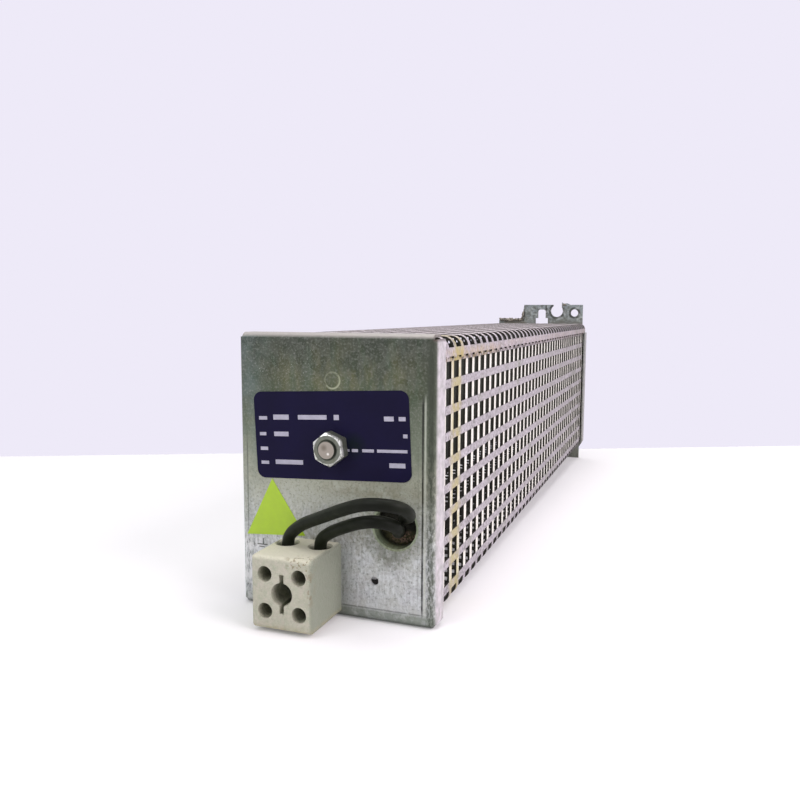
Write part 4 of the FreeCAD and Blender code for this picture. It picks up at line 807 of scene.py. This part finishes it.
def crumb_tree():
    """Nodes that scatter crumbs of random size and turn over a narrow strip."""
    tree = bpy.data.node_groups.new("Scattered crumbs", "GeometryNodeTree")
    ports = tree.interface
    ports.new_socket("Strip", in_out="INPUT", socket_type="NodeSocketGeometry")
    for name in ("Density", "Smallest", "Largest"):
        ports.new_socket(name, in_out="INPUT", socket_type="NodeSocketFloat")
    ports.new_socket("Seed", in_out="INPUT", socket_type="NodeSocketInt")
    ports.new_socket("Finish", in_out="INPUT", socket_type="NodeSocketMaterial")
    ports.new_socket("Crumbs", in_out="OUTPUT", socket_type="NodeSocketGeometry")
    given = add(tree, "NodeGroupInput").outputs
    points = add(tree, "GeometryNodeDistributePointsOnFaces", {
        "Mesh": given["Strip"], "Density": given["Density"],
        "Seed": given["Seed"]}).outputs["Points"]
    crumb = add(tree, "GeometryNodeMeshIcoSphere", {
        "Radius": 1.0, "Subdivisions": 2}).outputs["Mesh"]
    sizes, turns = (
        add(tree, "FunctionNodeRandomValue", {0: least, 1: most, 8: given["Seed"]},
            data_type="FLOAT_VECTOR").outputs[0]
        for least, most in ((given["Smallest"], given["Largest"]),
                            ((0.0, 0.0, 0.0), (math.tau, math.tau, math.tau))))
    placed = add(tree, "GeometryNodeInstanceOnPoints", {
        "Points": points, "Instance": crumb, "Rotation": turns, "Scale": sizes}).outputs[0]
    real = add(tree, "GeometryNodeRealizeInstances", {"Geometry": placed}).outputs[0]
    finished = add(tree, "GeometryNodeSetMaterial", {
        "Geometry": real, "Material": given["Finish"]}).outputs[0]
    add(tree, "NodeGroupOutput", {"Crumbs": finished})
    return tree


def crumbs(finish):
    """Dried dirt along the rear plate's left shoulder, the foot of its tab and the torn lip."""
    tree = crumb_tree()
    shoulder = max(vertex.co.z for vertex in nodes["rear_end_plate"].data.vertices
                   if vertex.co.x < -20 * MM) / MM - FOOT
    depth = BACK_FACE - FRONT_FACE
    # name, corners from the middle and above the foot, crumbs in a square millimetre, seed
    strips = (
        ("shoulder_dirt", (-32.5, shoulder - 0.6), (-14.5, shoulder + 1.0), 3.4, 3),
        ("tab_dirt", (-14.6, shoulder), (-13.2, shoulder + 7.0), 2.6, 7),
        ("lip_dirt", (16.9, 109.9), (20.2, 110.5), 3.0, 5),
    )
    for name, (left, low), (right, high), density, seed in strips:
        # A level strip rises from front to back, an upright one from left to right
        right_low, left_high = (high, low) if high - low > right - left else (low, high)
        front, back = depth - CRUMBS_FRONT, depth - CRUMBS_BACK
        corners = [spot(left, front, low), spot(right, front, right_low),
                   spot(right, back, high), spot(left, back, left_high)]
        strip = bpy.data.meshes.new(name + " strip")
        strip.from_pydata(corners, [], [(0, 1, 2, 3)])
        piece = mesh_object(name, strip)
        scatter = piece.modifiers.new("Crumbs", "NODES")
        set_inputs(scatter, tree, density=density / MM ** 2, smallest=CRUMB_SMALLEST * MM,
                   largest=CRUMB_LARGEST * MM, seed=seed, finish=finish)
        apply_modifiers(piece, finish)
        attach(piece, "root")


def block_screw(finish):
    """The screw that holds the block: a pan head with a cross recess, deep in the middle hole."""
    low, high = (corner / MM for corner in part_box("block_screw"))
    across, above = (low.x + high.x) / 2, (low.z + high.z) / 2
    head, shank = (high.x - low.x) / 2, SCREW_SHANK / 2
    seat = low.y + SCREW_HEAD_HEIGHT
    profile = ((0.0, low.y), (0.55 * head, low.y + 0.12), (0.85 * head, low.y + 0.55),
               (head, low.y + 1.3), (head, seat), (shank, seat), (shank, high.y), (0.0, high.y))
    work = bmesh.new()
    line = [work.verts.new(Vector((across + radius, depth, above)) * MM)
            for radius, depth in profile]
    edges = [work.edges.new(pair) for pair in zip(line, line[1:])]
    bmesh.ops.spin(work, geom=line + edges, cent=Vector((across, low.y, above)) * MM,
                   axis=(0, 1, 0), angle=math.tau, steps=32)
    bmesh.ops.remove_doubles(work, verts=work.verts[:], dist=0.001 * MM)
    piece = mesh_object("block_screw_recessed", outward_mesh("block screw", work))
    arms = []
    for turn in (RECESS_TURN, RECESS_TURN + math.pi / 2):
        work = bmesh.new()
        bmesh.ops.create_cube(work, size=1.0)
        for vertex in work.verts:
            reach, width = vertex.co.x * RECESS_REACH, vertex.co.z * RECESS_WIDTH
            vertex.co = Vector((across + reach * math.cos(turn) - width * math.sin(turn),
                                low.y + vertex.co.y * 2 * RECESS_DEPTH,
                                above + reach * math.sin(turn) + width * math.cos(turn))) * MM
        arms.append(mesh_object("recess", outward_mesh("recess", work)))
        cut = piece.modifiers.new("Recess", "BOOLEAN")
        cut.object = arms[-1]
        cut.operation = "DIFFERENCE"
        cut.solver = "EXACT"
    mesh = apply_modifiers(piece, finish)
    for arm in arms:
        bpy.data.objects.remove(arm)
    mesh.polygons.foreach_set("use_smooth", [True] * len(mesh.polygons))
    mesh.set_sharp_from_angle(angle=math.radians(35))
    mesh.update()
    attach(piece, "root")
    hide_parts("block_screw")


def bush_dust(finish):
    """A lumpy plug of fluff that fills the bore of the bush round the leads, behind its mouth; its
    nearly black finish is partly painted shade in the bore.
    """
    work = bmesh.new()
    bmesh.ops.create_icosphere(work, subdivisions=5, radius=1.0)
    for vertex in work.verts:
        away = vertex.co.copy()
        lumps = noise.noise(away * 5.0) + 0.5 * noise.noise(away * 13.0)
        vertex.co = spot(BUSH_ACROSS + DUST_HALF * away.x,
                         DUST_DEPTH + DUST_THICK * (away.y + 0.5 * lumps),
                         BUSH_ABOVE + DUST_HALF * away.z)
    piece = mesh_object("bush_dust", outward_mesh("bush dust", work), finish)
    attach(piece, "root")


# Label and its print

def label_place(right, up, proud):
    """A place on the tilted label, from its lower left corner and in front of the plate."""
    turn = math.radians(LABEL_TILT)
    across = right - LABEL_WIDTH / 2
    above = up - LABEL_HEIGHT / 2
    return spot(LABEL_ACROSS + across * math.cos(turn) - above * math.sin(turn), -proud,
                LABEL_MIDDLE + across * math.sin(turn) + above * math.cos(turn))


def label_print(pale):
    """Generic bars in place of the words, in the same columns."""
    # left, width, middle height, height of each bar on the label
    bars = (
        (1.7, 3.2, 20.9, 2.0), (7.3, 6.0, 21.2, 2.9), (16.8, 10.8, 21.2, 2.6),
        (30.2, 1.9, 21.2, 2.9), (48.2, 3.4, 20.8, 2.6), (53.3, 2.4, 20.8, 2.3),
        (1.7, 2.5, 15.4, 1.9), (7.3, 5.6, 15.4, 2.6), (54.6, 1.5, 15.2, 2.1),
        (1.7, 2.9, 10.3, 2.0), (34.5, 0.9, 10.2, 1.4), (36.3, 2.2, 10.2, 1.7),
        (40.0, 4.2, 10.2, 1.7), (45.3, 10.6, 10.2, 1.7),
        (1.7, 3.0, 5.4, 1.9), (7.3, 10.6, 5.7, 2.6), (49.4, 5.6, 5.5, 2.6),
    )
    front = LABEL_THICK + PRINT_THICK
    work = bmesh.new()
    for left, width, middle, tall in bars:
        height = tall * BAR_SHARE
        spots = ((left, middle - height / 2), (left + width, middle - height / 2),
                 (left + width, middle + height / 2), (left, middle + height / 2))
        work.faces.new([work.verts.new(label_place(*place, front)) for place in spots])
    words = mesh_object("label_bars", outward_mesh("label print", work), pale)
    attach(words, "root")


# Camera, lights, floor and backdrop

def camera():
    """The photograph's own viewpoint."""
    yaw = math.radians(CAMERA_YAW)
    down = math.radians(CAMERA_DOWN)
    roll = math.radians(CAMERA_ROLL)
    look = Vector((math.sin(yaw) * math.cos(down), math.cos(yaw) * math.cos(down), -math.sin(down)))
    level = Vector((math.cos(yaw), -math.sin(yaw), 0))
    upright = level.cross(look)
    right = level * math.cos(roll) + upright * math.sin(roll)
    up = upright * math.cos(roll) - level * math.sin(roll)
    data = bpy.data.cameras.new("camera")
    data.lens = CAMERA_LENS
    data.sensor_width = 36.0
    data.clip_start = 0.01
    item = bpy.data.objects.new("camera", data)
    item.matrix_world = Matrix.Translation(Vector(CAMERA_PLACE) * MM) @ Matrix(
        (right, up, -look)).transposed().to_4x4()
    bpy.context.scene.collection.objects.link(item)
    bpy.context.scene.camera = item


def lamp(name, place, target, size, power, shade="#ffffff"):
    """A square soft lamp aimed at a place, both in millimetres."""
    data = bpy.data.lights.new(name, "AREA")
    data.size = size * MM
    data.energy = power
    data.color = linear(shade)[:3]
    item = bpy.data.objects.new(name, data)
    start = Vector(place) * MM
    item.location = start
    item.rotation_euler = (Vector(target) * MM - start).to_track_quat("-Z", "Y").to_euler()
    bpy.context.scene.collection.objects.link(item)


def lights():
    """Soft lamps at the front left, the right and overhead, and a pale room."""
    lamp("window front left", (-500, -900, 700), (0, -150, 60), 700, 4.5)
    lamp("window right", (900, -250, 550), (30, 0, 60), 800, 10.0, "#fff6fb")
    lamp("ceiling", (0, 100, 1200), (0, 0, 60), 1000, 9.0)
    world = bpy.data.worlds.new("studio")
    bpy.context.scene.world = world
    world.use_nodes = True
    tree = world.node_tree
    room = tree.nodes["Background"]
    room.inputs["Color"].default_value = linear(ROOM_SHADE)
    room.inputs["Strength"].default_value = ROOM_LIGHT
    card = add(tree, "ShaderNodeBackground", {"Color": linear(BACKDROP_SHADE), "Strength": 1.0})
    mixed = add(tree, "ShaderNodeMixShader", {
        0: seen_directly(tree), 1: room.outputs[0], 2: card.outputs[0]})
    tree.links.new(mixed.outputs[0], tree.nodes["World Output"].inputs["Surface"])


def seen_directly(tree):
    """1 for what the camera sees, by itself or in a mirror-like or clear piece, 0 otherwise."""
    path = add(tree, "ShaderNodeLightPath").outputs
    seen = add(tree, "ShaderNodeMath", {0: path["Is Camera Ray"], 1: path["Is Glossy Ray"]},
               operation="ADD")
    return add(tree, "ShaderNodeMath", {0: seen.outputs[0], 1: path["Is Transmission Ray"]},
               operation="ADD").outputs[0]


def backdrop_finish(name, shade, seen_shade, glow):
    """Matt paper; the camera and mirror-like pieces see a part of it by its own light."""
    material = bpy.data.materials.new(name)
    material.use_nodes = True
    tree = material.node_tree
    shader = tree.nodes["Principled BSDF"]
    shader.inputs["Base Color"].default_value = linear(shade)
    shader.inputs["Roughness"].default_value = 1.0
    shader.inputs["Specular IOR Level"].default_value = 0.0
    shader.inputs["Emission Color"].default_value = linear(seen_shade)
    tree.links.new(product(tree, seen_directly(tree), glow), shader.inputs["Emission Strength"])
    return material


def floor_and_backdrop():
    """White paper up to the line that the photograph shows behind the rear plate, and the pale
    backdrop beyond it. Both lie low, so that they hide nothing from behind."""
    left = Vector(BACKDROP_LEFT)
    right = Vector(BACKDROP_RIGHT)
    way = (right - left).normalized() * STAGE_REACH
    ahead = Vector((way.y, -way.x))
    near_end, far_end = left - way, right + way
    for name, finish, corners in (
            ("floor", backdrop_finish("white paper", PAPER_SHADE, "#ffffff", PAPER_GLOW),
             (near_end, near_end + ahead, far_end + ahead, far_end)),
            ("backdrop", backdrop_finish("pale card", "#000000", BACKDROP_SHADE, 1.0),
             (near_end, far_end, far_end - ahead, near_end - ahead))):
        mesh = bpy.data.meshes.new(name)
        places = [Vector((*corner, (FLOOR_LOW - corner.y) * FLOOR_RISE - FLOOR_GAP)) * MM
                  for corner in corners]
        mesh.from_pydata(places, [], [(0, 1, 2, 3)])
        mesh_object(name, mesh, finish)


# Finishes of the CAD pieces

def dress_nodes():
    """Give each CAD piece that shows its own finish, and the small hardware zinc plating."""
    plate = galvanised_plate()
    rear = galvanised_rear()
    zinc = zinc_screw()
    stone = steatite()
    coat = cement()
    brass = plain_metal("dull brass", "#9a7f45", "#5d4d2b", 0.8, 0.45, 2.0)
    alloy = plain_metal("oxidised resistance alloy", "#6f6c66", "#3f3d3a", 0.7, 0.5, 2.0)
    tinned = plain_metal("tinned copper", "#a8a69c", "#6c6a60", 0.8, 0.4, 2.0)
    bush = bush_plastic()
    navy = label_film()
    lime = plain_film("lime printed film", "#aacb2e", "#9fbd34", 0.45)
    finishes = {
        "front_end_plate": plate, "rear_end_plate": rear, "cable_bush": bush,
        "terminal_block": stone, "ceramic_tube": stone, "centring_disc_front": stone,
        "centring_disc_rear": stone, "cement_coat": coat, "resistance_winding": alloy,
        "lug_front": tinned, "lug_rear": tinned, "terminal_insert_1": brass,
        "terminal_insert_2": brass, "rating_label": navy, "triangle_sticker": lime,
    }
    for name, item in nodes.items():
        item.data.materials.clear()
        item.data.materials.append(finishes.get(name, zinc))


dress_nodes()
covers(galvanised_cover(), cover_inside())
rubber = silicone()
lead("lead_a", LEAD_A, rubber)
lead("lead_b", LEAD_B, rubber)
bush_dust(packed_dust_and_shade())
crumbs(dried_dirt())
# The screw head's pale colour is a painted highlight standing for the glints of its plating
block_screw(plain_metal("zinc screw, painted pale for glints", "#dfe6e8", "#8b949a", 0.1, 0.3, 0.8))
label_print(plain_film("pale ink", "#b3b1c0", "#918fa0", 0.5))
camera()
lights()
floor_and_backdrop()
bpy.context.scene.view_settings.view_transform = "Standard"
